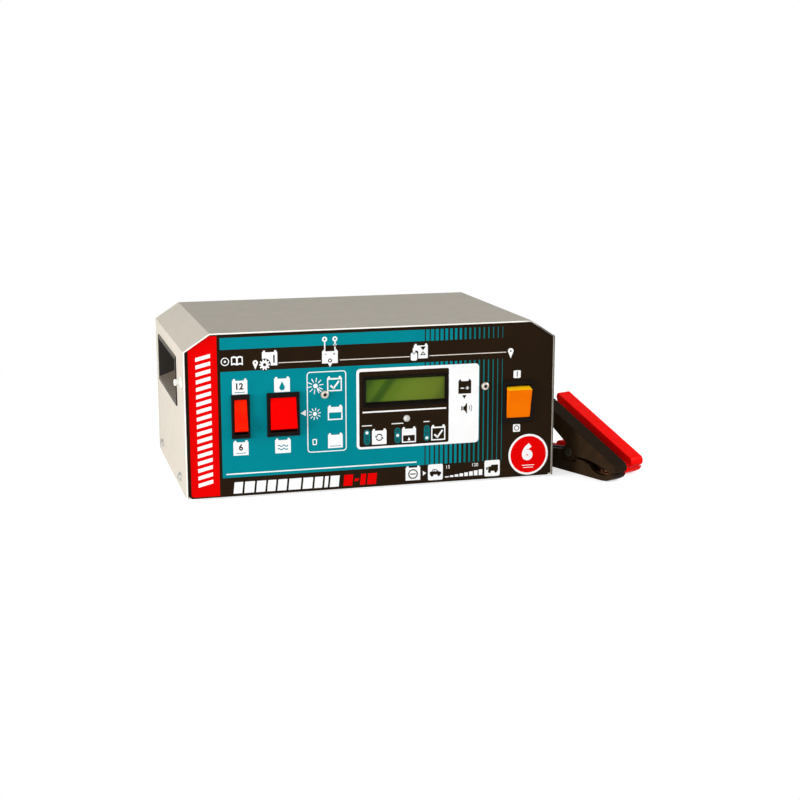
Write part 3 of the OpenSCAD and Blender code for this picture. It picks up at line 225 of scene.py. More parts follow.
class Finish:
    """A Principled material whose colour, roughness and bump come from noise at real sizes."""

    def __init__(self, name, colour, roughness, **constants):
        self.material = bpy.data.materials.new(name)
        self.material.use_nodes = True
        self.tree = self.material.node_tree
        self.colour = colour
        self.roughness = roughness
        self.shader = self.tree.nodes["Principled BSDF"]
        self.shader.inputs["Base Color"].default_value = colour
        self.shader.inputs["Roughness"].default_value = roughness
        for key, value in constants.items():
            self.shader.inputs[key.replace("_", " ")].default_value = value
        self.coords = self.node("TexCoord").outputs["Object"]
        self.height = None

    def node(self, kind):
        return self.tree.nodes.new("ShaderNode" + kind)

    def link(self, start, end):
        self.tree.links.new(start, end)

    def noise(self, size, detail=2.0, stretch=(1, 1, 1)):
        """Noise with patches of that size, in millimetres."""
        mapping = self.node("Mapping")
        mapping.inputs["Scale"].default_value = [1 / (size * MM * s) for s in stretch]
        self.link(self.coords, mapping.inputs["Vector"])
        noise = self.node("TexNoise")
        noise.inputs["Scale"].default_value = 1
        noise.inputs["Detail"].default_value = detail
        self.link(mapping.outputs[0], noise.inputs["Vector"])
        return noise.outputs["Fac"]

    def ramp(self, factor, low, high, start=0.3, stop=0.7):
        """Turns a factor into values between two numbers."""
        node = self.node("MapRange")
        node.inputs["From Min"].default_value = start
        node.inputs["From Max"].default_value = stop
        node.inputs["To Min"].default_value = low
        node.inputs["To Max"].default_value = high
        self.link(factor, node.inputs["Value"])
        return node.outputs["Result"]

    def mixed(self, factor, low, high):
        """Turns a factor into colours between two colours or sockets."""
        node = self.node("Mix")
        node.data_type = "RGBA"
        self.link(factor, node.inputs["Factor"])
        for value, socket in ((low, node.inputs["A"]), (high, node.inputs["B"])):
            if isinstance(value, tuple):
                socket.default_value = value
            else:
                self.link(value, socket)
        return node.outputs["Result"]

    def mottle(self, size, spread, stretch=(1, 1, 1)):
        """Lets the colour vary by a share either way."""
        factor = self.ramp(self.noise(size, 3, stretch), 0, 1)
        low, high = shaded(self.colour, 1 - spread), shaded(self.colour, 1 + spread)
        self.link(self.mixed(factor, low, high), self.shader.inputs["Base Color"])
        return self

    def painted_light_by_facing(self, axis, colour, start=0.25, stop=0.6):
        """Gives the surfaces that face along an axis another colour: light or shade painted by the
        way they face.
        """
        split = self.node("SeparateXYZ")
        self.link(self.coords.node.outputs["Normal"], split.inputs[0])
        socket = self.shader.inputs["Base Color"]
        factor = self.ramp(split.outputs[axis], 0, 1, start, stop)
        self.link(self.mixed(factor, socket.links[0].from_socket, colour), socket)
        return self

    def sheen_marks(self, size, spread, stretch=(1, 1, 1)):
        """Lets the roughness vary by a share either way."""
        low, high = self.roughness * (1 - spread), self.roughness * (1 + spread)
        marks = self.ramp(self.noise(size, 4, stretch), low, high)
        self.link(marks, self.shader.inputs["Roughness"])
        return self

    def grain(self, size, depth, detail=2.0, stretch=(1, 1, 1)):
        """Adds a bump of that size and depth, in millimetres."""
        bump = self.node("Bump")
        bump.inputs["Strength"].default_value = 1
        bump.inputs["Distance"].default_value = depth * MM
        self.link(self.noise(size, detail, stretch), bump.inputs["Height"])
        if self.height is not None:
            self.link(self.height, bump.inputs["Normal"])
        self.height = bump.outputs["Normal"]
        self.link(self.height, self.shader.inputs["Normal"])
        return self


PAINT = linear(173, 165, 152)
TEAL = linear(0, 130, 140)
INK_BLACK = linear(36, 24, 12)
INK_WHITE = linear(246, 245, 243)
INK_RED = linear(226, 0, 0)
# Painted highlight and painted shade for the cover's front edge, by how the light falls along it
EDGE_PAINTED_HIGHLIGHT = linear(255, 250, 240)
EDGE_PAINTED_SHADE = linear(104, 99, 92)
# Between these distances from the cover's +x side the painted highlight on its front edge turns to
# painted shade
EDGE_HIGHLIGHT_FADE = (0.026, 0.012)


def casing_paint(name):
    finish = Finish(name, PAINT, 0.56, Specular_IOR_Level=0.12)
    return finish.mottle(30, 0.012).sheen_marks(9, 0.12).grain(0.9, 0.012).grain(0.25, 0.003)


paint = casing_paint("casing_paint")
# The cover's front edge, which faces -Y, gets a painted highlight that turns to painted shade
# towards the +x side
cover_paint = casing_paint("cover_paint")
edge_place = cover_paint.node("SeparateXYZ")
cover_paint.link(cover_paint.coords, edge_place.inputs[0])
edge_highlight_fade = cover_paint.ramp(edge_place.outputs["X"], 0, 1, *(cover_high.x - d for d in EDGE_HIGHLIGHT_FADE))
cover_paint.painted_light_by_facing("Y", cover_paint.mixed(edge_highlight_fade, EDGE_PAINTED_HIGHLIGHT, EDGE_PAINTED_SHADE), -0.35, -0.8)

film_base = Finish("film_base", INK_BLACK, 0.4, Specular_IOR_Level=0.03)
film_base.mottle(20, 0.08).sheen_marks(15, 0.15).grain(0.16, 0.0015)


def ink(name, colour):
    finish = Finish("ink_" + name, colour, 0.4, Specular_IOR_Level=0.03)
    return finish.mottle(12, 0.025).sheen_marks(18, 0.12).grain(0.16, 0.0015)


ink_teal = ink("teal", TEAL)
ink_deep_teal = ink("deep_teal", linear(4, 108, 112))
ink_black = ink("black", INK_BLACK)
ink_white = ink("white", INK_WHITE)
ink_red = ink("red", INK_RED)
ink_line = ink("line", linear(226, 216, 206))

black_plastic = Finish("black_plastic", linear(19, 14, 11), 0.38, Specular_IOR_Level=0.06)
black_plastic.mottle(6, 0.15).sheen_marks(5, 0.2).grain(0.35, 0.006)

grip_plastic = Finish("grip_plastic", linear(50, 46, 42), 0.42, Specular_IOR_Level=0.03)
grip_plastic.mottle(12, 0.1).sheen_marks(9, 0.25).grain(0.5, 0.012)
# The cup's upward faces, its sloped floor, are painted lighter: a painted highlight where the light
# falls in
grip_plastic.painted_light_by_facing("Z", linear(110, 100, 87))

plated = Finish("plated_steel", linear(190, 188, 182), 0.32, Metallic=1.0)
plated.mottle(3, 0.1).sheen_marks(2, 0.3).grain(0.4, 0.003, stretch=(1, 6, 1))

zinc = Finish("zinc_sheet", linear(176, 176, 172), 0.38, Metallic=1.0)
zinc.mottle(14, 0.07).sheen_marks(8, 0.25, (1, 5, 1)).grain(0.5, 0.002, stretch=(1, 8, 1))

rubber = Finish("rubber", linear(26, 26, 26), 0.75)
rubber.mottle(3, 0.2).grain(0.3, 0.01)

nylon = Finish("nylon", linear(226, 225, 218), 0.45, Subsurface_Weight=0.1, Subsurface_Scale=0.001)
nylon.mottle(4, 0.04).sheen_marks(3, 0.2).grain(0.3, 0.004)

board_green = Finish("solder_mask", linear(22, 92, 52), 0.4)
board_green.mottle(4, 0.2).grain(0.5, 0.01)

lens = Finish("lamp_lens", linear(214, 211, 204), 0.22, Transmission_Weight=0.15, IOR=1.49)
lens.mottle(1.2, 0.12).sheen_marks(1, 0.3)

brass = Finish("brass", linear(172, 128, 84), 0.36, Metallic=1.0)
brass.mottle(2.5, 0.18).sheen_marks(1.5, 0.35).grain(0.3, 0.006)

iron = Finish("laminations", linear(70, 70, 74), 0.45, Metallic=0.8)
iron.mottle(3, 0.2).grain(0.5, 0.05, stretch=(40, 1, 40))

copper = Finish("enamelled_wire", linear(176, 92, 40), 0.3, Metallic=0.9)
copper.mottle(2, 0.2).grain(0.7, 0.12, detail=0, stretch=(30, 30, 1))

aluminium = Finish("aluminium", linear(178, 180, 184), 0.36, Metallic=1.0)
aluminium.mottle(6, 0.08).grain(0.4, 0.005, stretch=(1, 1, 20))

component = Finish("component_plastic", linear(28, 30, 40), 0.4)
component.mottle(2, 0.2).grain(0.3, 0.006)

cord_black = Finish("cord_black", linear(18, 18, 19), 0.42, Specular_IOR_Level=0.3)
cord_black.mottle(8, 0.2).sheen_marks(6, 0.25).grain(0.8, 0.015)

cord_red = Finish("cord_red", linear(208, 10, 10), 0.4, Specular_IOR_Level=0.25)
cord_red.mottle(8, 0.06).sheen_marks(6, 0.25).grain(0.8, 0.015)

clamp_black = Finish("clamp_black", linear(42, 30, 19), 0.45, Specular_IOR_Level=0.012)
clamp_black.mottle(7, 0.16).sheen_marks(3, 0.3).grain(0.6, 0.006).grain(5, 0.03)
# The clamp's upward faces are painted darker: painted shade against the light that falls on its top
clamp_black.painted_light_by_facing("Z", linear(32, 22, 12))

clamp_red = Finish("clamp_red", linear(254, 10, 4), 0.45, Specular_IOR_Level=0.03)
clamp_red.mottle(9, 0.05).sheen_marks(3, 0.3).grain(0.6, 0.006).grain(5, 0.03)

dark_steel = Finish("blackened_steel", linear(74, 68, 60), 0.4, Metallic=0.9)
dark_steel.mottle(1.5, 0.2).sheen_marks(1.2, 0.3).grain(0.4, 0.004)

wire = Finish("spring_wire", linear(188, 188, 190), 0.25, Metallic=1.0)
wire.mottle(1.5, 0.12).sheen_marks(1, 0.3)


def screw_finish():
    """Plated steel with painted shade where its driver recess lies, out to some shares of the head's
    radius.
    """
    dark_to, bright_from = 0.36, 0.44
    finish = Finish("fascia_screw", linear(196, 188, 176), 0.34, Metallic=0.85)
    low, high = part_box("fascia_screws")
    radius = (high.z - low.z) / 2
    flat = finish.node("VectorMath")
    flat.operation = "MULTIPLY"
    flat.inputs[1].default_value = (1, 0, 1)
    finish.link(finish.coords, flat.inputs[0])
    body = finish.colour
    for x in (low.x + radius, high.x - radius):
        away = finish.node("VectorMath")
        away.operation = "DISTANCE"
        away.inputs[1].default_value = (x, 0, (low.z + high.z) / 2)
        finish.link(flat.outputs[0], away.inputs[0])
        # Painted shade over the middle of each head, for its driver recess
        dark = finish.ramp(away.outputs["Value"], 1, 0, dark_to * radius, bright_from * radius)
        body = finish.mixed(dark, body, linear(30, 26, 22))
    finish.link(body, finish.shader.inputs["Base Color"])
    return finish.sheen_marks(2, 0.3).grain(0.4, 0.003)


def rocker_finish(name, colour, deep):
    """Moulded translucent plastic, a little deeper in colour in broad random patches."""
    finish = Finish(name, colour, 0.34, Specular_IOR_Level=0.02)
    factor = finish.ramp(finish.noise(14, 1), 0, 1)
    finish.link(finish.mixed(factor, colour, deep), finish.shader.inputs["Base Color"])
    return finish.sheen_marks(4, 0.25).grain(0.4, 0.002)


rocker_red = rocker_finish("rocker_red", linear(253, 36, 4), linear(244, 20, 2))
rocker_crimson = rocker_finish("rocker_crimson", linear(250, 0, 0), linear(234, 0, 0))
rocker_orange = rocker_finish("rocker_orange", linear(248, 120, 0), linear(242, 108, 0))
# The rocker's upward faces are painted a lighter yellow-orange: a painted highlight where the light
# falls on its top
rocker_orange.painted_light_by_facing("Z", linear(255, 192, 16))


def display_finish():
    """The olive cell of the display, with a painted reflection in tones across it, dark in a
    diagonal streak on its left, and painted shade along its rim.
    """
    finish = Finish("display_cell", linear(104, 122, 42), 0.2, Specular_IOR_Level=0.15)
    split = finish.node("SeparateXYZ")
    finish.link(finish.coords, split.inputs[0])
    lean = 0.75
    slant = finish.node("Math")
    slant.operation = "MULTIPLY_ADD"
    slant.inputs[1].default_value = -lean
    finish.link(split.outputs["Z"], slant.inputs[0])
    finish.link(split.outputs["X"], slant.inputs[2])
    low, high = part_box("display_glass")
    middle = (low + high) / 2
    start = low.x - lean * middle.z
    # A painted reflection: the cell's tones run along the slant, with a dark streak on the left and
    # a darker right end
    reflection_tones = finish.node("ValToRGB")
    finish.link(finish.ramp(slant.outputs[0], 0, 1, start, start + high.x - low.x), reflection_tones.inputs[0])
    reflection_stops = (
        (0, linear(60, 91, 8)), (0.08, linear(77, 109, 12)), (0.15, linear(80, 110, 14)),
        (0.21, linear(52, 83, 6)), (0.25, linear(48, 79, 4)), (0.34, linear(85, 111, 18)),
        (0.55, linear(99, 120, 28)), (0.85, linear(99, 116, 26)), (1, linear(84, 100, 18)),
    )
    band = reflection_tones.color_ramp
    band.interpolation = "EASE"
    while len(band.elements) < len(reflection_stops):
        band.elements.new(0.5)
    for element, (place, colour) in zip(band.elements, reflection_stops):
        element.position = place
        element.color = colour
    body = reflection_tones.outputs["Color"]
    # Painted shade along the rim, where the frame shades the recessed cell
    rim_shade_tone = linear(38, 56, 14)
    rim_shade_strength, rim_full, rim_gone = 0.55, 0.8, 1.9
    for axis, index, soft in (("X", 0, 0.0022), ("Z", 2, 0.0018)):
        for edge, inward in ((low[index], soft), (high[index], -soft)):
            span = (edge + rim_full * inward, edge + rim_gone * inward)
            shade = finish.ramp(split.outputs[axis], rim_shade_strength, 0, *span)
            body = finish.mixed(shade, body, rim_shade_tone)
    finish.link(body, finish.shader.inputs["Base Color"])
    return finish.grain(0.3, 0.0006)


display_cell = display_finish()

NODE_FINISH = (
    (cover_paint, "cover"), (paint, "rear_panel"), (film_base, "fascia_film"),
    (grip_plastic, "left_grip_cup right_grip_cup"), (zinc, "front_panel base_tray"),
    (aluminium, "chassis_rivets heat_sink"), (screw_finish(), "fascia_screws"),
    (plated, "cover_screws board_nuts transformer_frame transformer_bolts"),
    (rubber, "rubber_feet"), (nylon, "board_spacers cutout_body reset_button board_pillars"),
    (black_plastic, "display_frame slim_switch_housing wide_switch_housing"),
    (black_plastic, "power_switch_housing mains_gland lead_gland"),
    (display_cell, "display_glass"), (board_green, "display_module control_board power_board"),
    (component, "control_chips sounder transformer_bobbin capacitor relay bridge_rectifier"),
    (lens, "status_lamp"), (rocker_red, "slim_rocker"), (rocker_crimson, "wide_rocker"),
    (rocker_orange, "power_rocker"), (iron, "transformer_core"), (copper, "transformer_windings"),
    (brass, "switch_terminals black_lower_jaw black_upper_jaw red_lower_jaw red_upper_jaw"),
    (cord_black, "lead_splitter"), (clamp_black, "black_lower_arm black_upper_arm"),
    (clamp_red, "red_lower_arm red_upper_arm"), (dark_steel, "clamp_rivets"),
)
# The cover's folds are too flat for the angle at which other edges are rounded
FOLD_R = 0.25
# Edge radius of the nodes that show, in millimetres
NODE_EDGES = (
    (0.15, "cover_screws fascia_screws black_lower_jaw black_upper_jaw red_lower_jaw red_upper_jaw"),
    (0.2, "rear_panel base_tray cutout_body"), (0.25, "display_frame"),
    (0.3, "rubber_feet clamp_rivets"),
    (0.35, "slim_switch_housing wide_switch_housing power_switch_housing"),
    (0.4, "mains_gland lead_gland"), (0.5, "left_grip_cup right_grip_cup"),
    (0.6, "black_lower_arm red_lower_arm"), (0.8, "black_upper_arm red_upper_arm"),
    (1.0, "lead_splitter"), (1.1, "slim_rocker"), (1.3, "wide_rocker power_rocker"),
)


def rounded(piece, edge, least=28):
    """Rounds the sharp edges of a CAD node with modifiers, which leave its mesh as it is."""
    weld = piece.modifiers.new("weld", "WELD")
    weld.merge_threshold = 1e-6
    flat = piece.modifiers.new("flat_faces", "DECIMATE")
    flat.decimate_type = "DISSOLVE"
    flat.angle_limit = radians(0.5)
    bevel = piece.modifiers.new("edges", "BEVEL")
    bevel.width = edge * MM
    bevel.segments = 3
    bevel.limit_method = "ANGLE"
    bevel.angle_limit = radians(least)
    bevel.use_clamp_overlap = True
    normals = piece.modifiers.new("normals", "WEIGHTED_NORMAL")
    normals.keep_sharp = False
    normals.weight = 80


def finish_nodes():
    for finish, names in NODE_FINISH:
        for name in names.split():
            materials = nodes[name].data.materials
            materials.clear()
            materials.append(finish.material)
    for edge, names in NODE_EDGES:
        for name in names.split():
            rounded(nodes[name], edge)
    rounded(nodes["cover"], FOLD_R, least=18)


# ---- Meshes and curves ----


def add_object(name, data, finish, body=CASING):
    piece = placed(name, data)
    data.materials.append(finish.material)
    if body:
        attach(piece, body)
    return piece


def mesh_object(name, points, faces, finish, body=CASING, smooth_angle=35):
    mesh = bpy.data.meshes.new(name)
    mesh.from_pydata([tuple(p) for p in points], [], faces)
    mesh.shade_smooth()
    mesh.set_sharp_from_angle(angle=radians(smooth_angle))
    return add_object(name, mesh, finish, body)


def cord_curve(name, points, diameter, finish):
    curve = bpy.data.curves.new(name, "CURVE")
    curve.dimensions = "3D"
    curve.resolution_u = 6
    curve.bevel_depth = diameter / 2
    curve.bevel_resolution = 5
    curve.use_fill_caps = True
    spline = curve.splines.new("BEZIER")
    spline.bezier_points.add(len(points) - 1)
    for knot, point in zip(spline.bezier_points, points):
        knot.co = point
        knot.handle_left_type = knot.handle_right_type = "AUTO"
    return add_object(name, curve, finish)


# ---- Cords, on the routes of part.scad ----

LEAD_D = 0.007
CORE_D = 0.0044
COIL_AT = (52, 160)
COIL_R = 46.5
COIL_END_R = 48.5
COIL_IN_R = 29
COIL_TURNS = 2
COIL_LOW_Z = 4.7
COIL_LAYER = 7.8
COIL_POINTS = 20
COIL_END = 4.75

lead_start = [(98.5, y, z) for y, z in (
    (74, 26), (82, 26), (90, 26), (97, 26), (104, 26), (112, 25), (120, 22.2), (128.5, 15.4),
    (137, 8.5), (145, 5.7), (153, 4.7),
)]
lead_run = [(x, 111.5, z) for x, z in (
    (59, 12.5), (66, 12.1), (74, 10.4), (84, 7), (92, 5.2), (102, 4.8),
)]
black_core = [
    (122, 108.5, 3.4), (131, 108, 2.6), (141, 104.5, 2.2), (149.5, 97, 2.2), (154.5, 87.5, 2.2),
    (156, 76, 2.2), (155.8, 63, 2.2), (154.9, 50, 2.2), (153, 37.5, 2.2), (150.4, 25, 2.2),
    (147.9, 13, 2.2), (146, 1.5, 2.3), (145.4, -8.7, 2.9), (146, -18.2, 4), (147.5, -26.8, 5.4),
    (150.1, -33.8, 6.3), (152.3, -39.3, 6.4),
]
red_core = [
    (122, 114.5, 3.4), (132, 114, 2.6), (143, 110.5, 2.2), (153, 103, 2.2), (160, 92.5, 2.2),
    (162.5, 80, 2.2), (162.9, 67, 2.2), (162.4, 54, 2.2), (161.8, 41.5, 2.2), (161.5, 30.5, 2.2),
    (161.8, 20.5, 2.4), (163.2, 10.4, 3.2), (165.6, 0.8, 4.6), (168.6, -8.1, 6),
    (171.5, -15.5, 6.4), (173.7, -21.1, 6.4),
]


def coil_point(turn):
    """A point of the coil, in millimetres, after a number of turns: in, up, and out again."""
    out_from = COIL_TURNS + 0.5
    if turn < COIL_TURNS:
        radius = COIL_R + (COIL_IN_R - COIL_R) * turn / COIL_TURNS
    elif turn < out_from:
        radius = COIL_IN_R
    else:
        radius = COIL_IN_R + (COIL_END_R - COIL_IN_R) * (turn - out_from) / (COIL_END - out_from)
    climb = max(0, min(1, 2 * (turn - COIL_TURNS)))
    height = COIL_LOW_Z + COIL_LAYER * (1 - cos(pi * climb)) / 2
    angle = 2 * pi * turn
    return (COIL_AT[0] + radius * cos(angle), COIL_AT[1] + radius * sin(angle), height)


def make_cords():
    steps = ceil(COIL_END * COIL_POINTS)
    coil = [coil_point(COIL_END * i / steps) for i in range(steps + 1)]
    lead_points = [from_cad(p) for p in lead_start + coil + lead_run]
    lead = cord_curve("battery_lead", lead_points, LEAD_D, cord_black)
    black = cord_curve("black_core_cord", [from_cad(p) for p in black_core], CORE_D, cord_black)
    red = cord_curve("red_core_cord", [from_cad(p) for p in red_core], CORE_D, cord_red)
    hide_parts("lead_start", "lead_coil", "lead_run")
    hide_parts("black_core")
    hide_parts("red_core")
    return lead, black, red


# ---- Printed panel: x from the casing's middle and z from its bottom, in millimetres ----

PRINT_STEP = 0.00004


def arc(x, z, radius, start, stop, count=12):
    turns = [radians(start + (stop - start) * i / count) for i in range(count + 1)]
    return [(x + radius * cos(turn), z + radius * sin(turn)) for turn in turns]


def disc(x, z, radius, count=48):
    return arc(x, z, radius, 0, 360, count)[:-1]


def rect(x0, z0, x1, z1):
    return [(x0, z0), (x1, z0), (x1, z1), (x0, z1)]


def rounded_rect(x0, z0, x1, z1, radius, count=6):
    return (
        arc(x0 + radius, z0 + radius, radius, 180, 270, count)
        + arc(x1 - radius, z0 + radius, radius, 270, 360, count)
        + arc(x1 - radius, z1 - radius, radius, 0, 90, count)
        + arc(x0 + radius, z1 - radius, radius, 90, 180, count)
    )


def slanted(x0, z0, x1, z1, lean):
    return [(x0, z0), (x1, z0), (x1 + lean, z1), (x0 + lean, z1)]


def stroke(points, width):
    """The outline of a line of that width along some points."""
    left, right = [], []
    for i, (x, z) in enumerate(points):
        before = points[max(i - 1, 0)]
        after = points[min(i + 1, len(points) - 1)]
        along_x, along_z = after[0] - before[0], after[1] - before[1]
        size = hypot(along_x, along_z)
        side_x, side_z = -along_z / size * width / 2, along_x / size * width / 2
        left.append((x + side_x, z + side_z))
        right.append((x - side_x, z - side_z))
    return left + right[::-1]


def battery(x0, z0, x1, z1):
    """A battery seen from the front: a case with a post at each end of its top."""
    w = x1 - x0
    case = z1 - 0.1 * (z1 - z0)
    dip = case - 0.02 * (z1 - z0)
    return [
        (x0, z0), (x1, z0), (x1, case), (x1 - 0.05 * w, case), (x1 - 0.07 * w, z1),
        (x1 - 0.19 * w, z1), (x1 - 0.22 * w, dip), (x0 + 0.22 * w, dip), (x0 + 0.19 * w, z1),
        (x0 + 0.07 * w, z1), (x0 + 0.05 * w, case), (x0, case),
    ]


class Panel:
    """Gathers printed shapes, and lays each ink down as thin closed slabs on the film."""

    def __init__(self):
        self.shapes = {}
        self.numbers = []

    def add(self, finish, layer, *loops):
        """A shape from its outline and the outlines of its holes."""
        self.shapes.setdefault((finish, layer), []).append(loops)

    def white(self, *loops):
        """A white sign on the film or its fields."""
        self.add(ink_white, 2, *loops)

    def black(self, *loops):
        """A black drawing on a white sign."""
        self.add(ink_black, 3, *loops)

    def inlay(self, *loops):
        """A white detail of a black drawing."""
        self.add(ink_white, 4, *loops)

    def number(self, finish, layer, text, x, z, height, weight=0.0):
        """A number whose middle is at a place."""
        self.numbers.append((finish, layer, text, x, z, height, weight))

    def build(self):
        for (finish, layer), shapes in self.shapes.items():
            piece = print_mesh("print_{}_{}".format(finish.material.name, layer), shapes, layer)
            add_object(piece.name, piece, finish)
        for i, (finish, layer, text, x, z, height, weight) in enumerate(self.numbers):
            mesh = number_mesh("number_{}".format(i), text, x, z, height, weight, layer)
            add_object(mesh.name, mesh, finish)


def on_panel(x, z, layer):
    return (panel_mid_x + x * MM, film_face_y - layer * PRINT_STEP, panel_base_z + z * MM)


def print_mesh(name, shapes, layer):
    work = bmesh.new()
    for loops in shapes:
        flat = [point for loop in loops for point in loop]
        front = [work.verts.new(on_panel(x, z, layer)) for x, z in flat]
        back = [work.verts.new(on_panel(x, z, 0)) for x, z in flat]
        outlines = [[Vector((x, z, 0)) for x, z in loop] for loop in loops]
        for a, b, c in tessellate_polygon(outlines):
            work.faces.new((front[a], front[b], front[c]))
            work.faces.new((back[c], back[b], back[a]))
        start = 0
        for loop in loops:
            for i in range(len(loop)):
                a, b = start + i, start + (i + 1) % len(loop)
                work.faces.new((front[a], front[b], back[b], back[a]))
            start += len(loop)
    bmesh.ops.recalc_face_normals(work, faces=work.faces)
    mesh = bpy.data.meshes.new(name)
    work.to_mesh(mesh)
    work.free()
    return mesh


def number_mesh(name, text, x, z, height, weight, layer):
    """Blender's own font as a mesh on the panel, with its strokes made thicker by a weight."""
    curve = bpy.data.curves.new(name, "FONT")
    curve.body = text
    curve.align_x = "CENTER"
    curve.offset = weight
    curve.extrude = 0.5
    curve.resolution_u = 4
    writing = placed(name, curve)
    bpy.context.view_layer.update()
    finished = writing.evaluated_get(bpy.context.evaluated_depsgraph_get())
    mesh = bpy.data.meshes.new_from_object(finished)
    bpy.data.objects.remove(writing)
    mesh.name = name
    low = Vector(min(v.co[i] for v in mesh.vertices) for i in range(3))
    high = Vector(max(v.co[i] for v in mesh.vertices) for i in range(3))
    scale = height / (high.y - low.y)
    middle = (low + high) / 2
    for vertex in mesh.vertices:
        place = (vertex.co - middle) * scale
        vertex.co = on_panel(x + place.x, z + place.y, layer if vertex.co.z > middle.z else 0)
    work = bmesh.new()
    work.from_mesh(mesh)
    bmesh.ops.remove_doubles(work, verts=work.verts, dist=1e-7)
    bmesh.ops.recalc_face_normals(work, faces=work.faces)
    work.to_mesh(mesh)
    work.free()
    return mesh


def print_fields(panel):
    """The red band, the teal fields and the stripes into which they fade."""
    panel.add(ink_red, 1, [
        (-136.4, 2.2), (-134.8, 1), (-115.8, 1), (-115.8, 118), (-121.6, 118), (-136.4, 108.3),
    ])
    switches = [rect(-105.8, 43.3, -93.6, 74.3), rect(-80, 43.3, -57.2, 74.3)]
    screw = disc(-37.9, 71.8, 2.2, 24)
    left, right = -113.6, 38
    foot, top = 14, 91.9
    # The white frame of the display is left free
    frame_left, frame_foot, frame_top = -13.4, 29.6, 88.7
    panel.add(ink_teal, 1, [
        (left, foot), (right, foot), (right, frame_foot), (frame_left, frame_foot),
        (frame_left, frame_top), (right, frame_top), (right, top), (left, top),
    ], *switches, screw)
    bar_foot, bar_top = 107.8, 116.4
    panel.add(ink_teal, 1, rect(left, bar_foot, right, bar_top))
    count = 17
    for i in range(count):
        start = 38.9 + i * 3.72
        stop = start + 2.75 - 2.3 * i / (count - 1)
        finish = ink_teal if i < 8 else ink_deep_teal
        spans = [(bar_foot, bar_top)]
        if start < 79:
            spans += [(foot, frame_foot), (frame_top, top)]
        elif abs(start - 85) < 2.4:
            # Round the right screw
            spans += [(foot, 69.4), (74.2, top)]
        else:
            spans += [(foot, top)]
        for low, high in spans:
            panel.add(finish, 1, rect(start, low, stop, high))


def print_red_band(panel):
    """A plain column of slanted bars."""
    for i in range(18):
        low = 8.2 + 5.4 * i
        panel.white([(-131.2, low), (-120.6, low + 2.6), (-120.6, low + 5.4), (-131.2, low + 2.8)])


def print_switch_cards(panel):
    for text, low, high in (("12", 75, 86.4), ("6", 30.2, 41.2)):
        panel.white(battery(-105.4, low, -94.4, high))
        panel.number(ink_black, 3, text, -99.9, low + 5.9, 4.8, 0.03)
        panel.add(ink_teal, 3, rect(-103.6, low + 1.3, -96.2, low + 1.8))
    for low, high in ((75.2, 86.4), (30, 41)):
        panel.white(battery(-74.9, low, -63.4, high))
    drop = [(-69.15, 83.2)] + arc(-69.15, 78.5, 2, 40, -220, 20)
    panel.add(ink_teal, 3, drop)
    for z in (33, 35.4):
        wave = [(-73 + 0.4 * i, z + 0.6 * sin(i * pi / 4.5)) for i in range(20)]
        panel.add(ink_teal, 3, stroke(wave, 0.7))


def sun(panel, x, z, core, inner, outer):
    """A disc with rays from an inner to an outer radius."""
    panel.white(disc(x, z, core, 24))
    rays = 10
    for i in range(rays):
        turn = 2 * pi * i / rays + 0.16
        ends = [(x + r * cos(turn), z + r * sin(turn)) for r in (inner, outer)]
        panel.white(stroke(ends, 0.6))


def outlined_battery(panel, x0, z0, x1, z1, border=0.9):
    """A battery drawn in outline, and the room inside it."""
    top = z1 - 0.1 * (z1 - z0) - 1.5 * border
    inside = rect(x0 + border, z0 + border, x1 - border, top)
    panel.white(battery(x0, z0, x1, z1), inside)
    return inside


def tick(panel, x, z, size=6):
    low = (x - 0.12 * size, z - 0.38 * size)
    width = 0.22 * size
    panel.white(stroke([(x - 0.5 * size, z), low], width))
    # The long arm begins a little lower, so that the corner is full
    start = (low[0] - 0.05 * size, low[1] - 0.06 * size)
    panel.white(stroke([start, (x + 0.55 * size, z + 0.5 * size)], width))


def print_lamp_key(panel):
    """The framed key to what the lamp's light means, and its pointer to the switch."""
    inner = rounded_rect(-50.3, 29.6, -22.3, 88.2, 1.9)
    panel.white(rounded_rect(-51, 28.9, -21.6, 88.9, 2.6), inner)
    panel.white([(-55.8, 58.7), (-52, 56.4), (-52, 61)])
    sun(panel, -44.6, 78.4, 1.7, 2.9, 6)
    panel.white(stroke([(-43.4, 76.9), (-39.6, 73.2)], 0.7))
    outlined_battery(panel, -35.9, 73.8, -24.9, 84.9)
    tick(panel, -30.4, 78.2)
    sun(panel, -45.2, 57.7, 1.5, 2.4, 4.5)
    inside = outlined_battery(panel, -35.6, 52.4, -24.6, 63.4)
    panel.white(rect(inside[0][0] - 0.1, 58, inside[1][0] + 0.1, inside[2][1] + 0.1))
    inner = rounded_rect(-46.5, 35.1, -44.6, 38.3, 0.4)
    panel.white(rounded_rect(-47.2, 34.4, -43.9, 39, 1), inner)
    panel.white(battery(-35.6, 31.4, -24.6, 42.6))
    panel.add(ink_teal, 3, rect(-34.2, 32.6, -26, 33.1))


def print_display_frame(panel):
    """The white frame round the display, with the sounder's sign on its broad right side."""
    panel.white(rounded_rect(-14, 29, 80.3, 89.3, 3), rounded_rect(-12, 30.6, 56.8, 87, 1.4))
    panel.white(rect(-9.4, 56.1, 54.7, 57.2))
    panel.black(battery(64.2, 66.8, 74.2, 77.6))
    panel.inlay(rect(66, 70.6, 68.6, 71.4))
    panel.inlay(rect(69.9, 70.6, 72.5, 71.4))
    panel.inlay(rect(70.8, 69.7, 71.6, 72.3))
    panel.black([(67.2, 65.6), (70.6, 65.6), (68.9, 62.8)])
    panel.black([(68.1, 54.2), (69, 54.2), (71.1, 51.2), (71.1, 60), (69, 57), (68.1, 57)])
    panel.black(rect(66.6, 54, 67.6, 57.2))
    for radius in (2.6, 4.2):
        panel.black(stroke(arc(70.6, 55.6, radius, -38, 38, 10), 0.4))


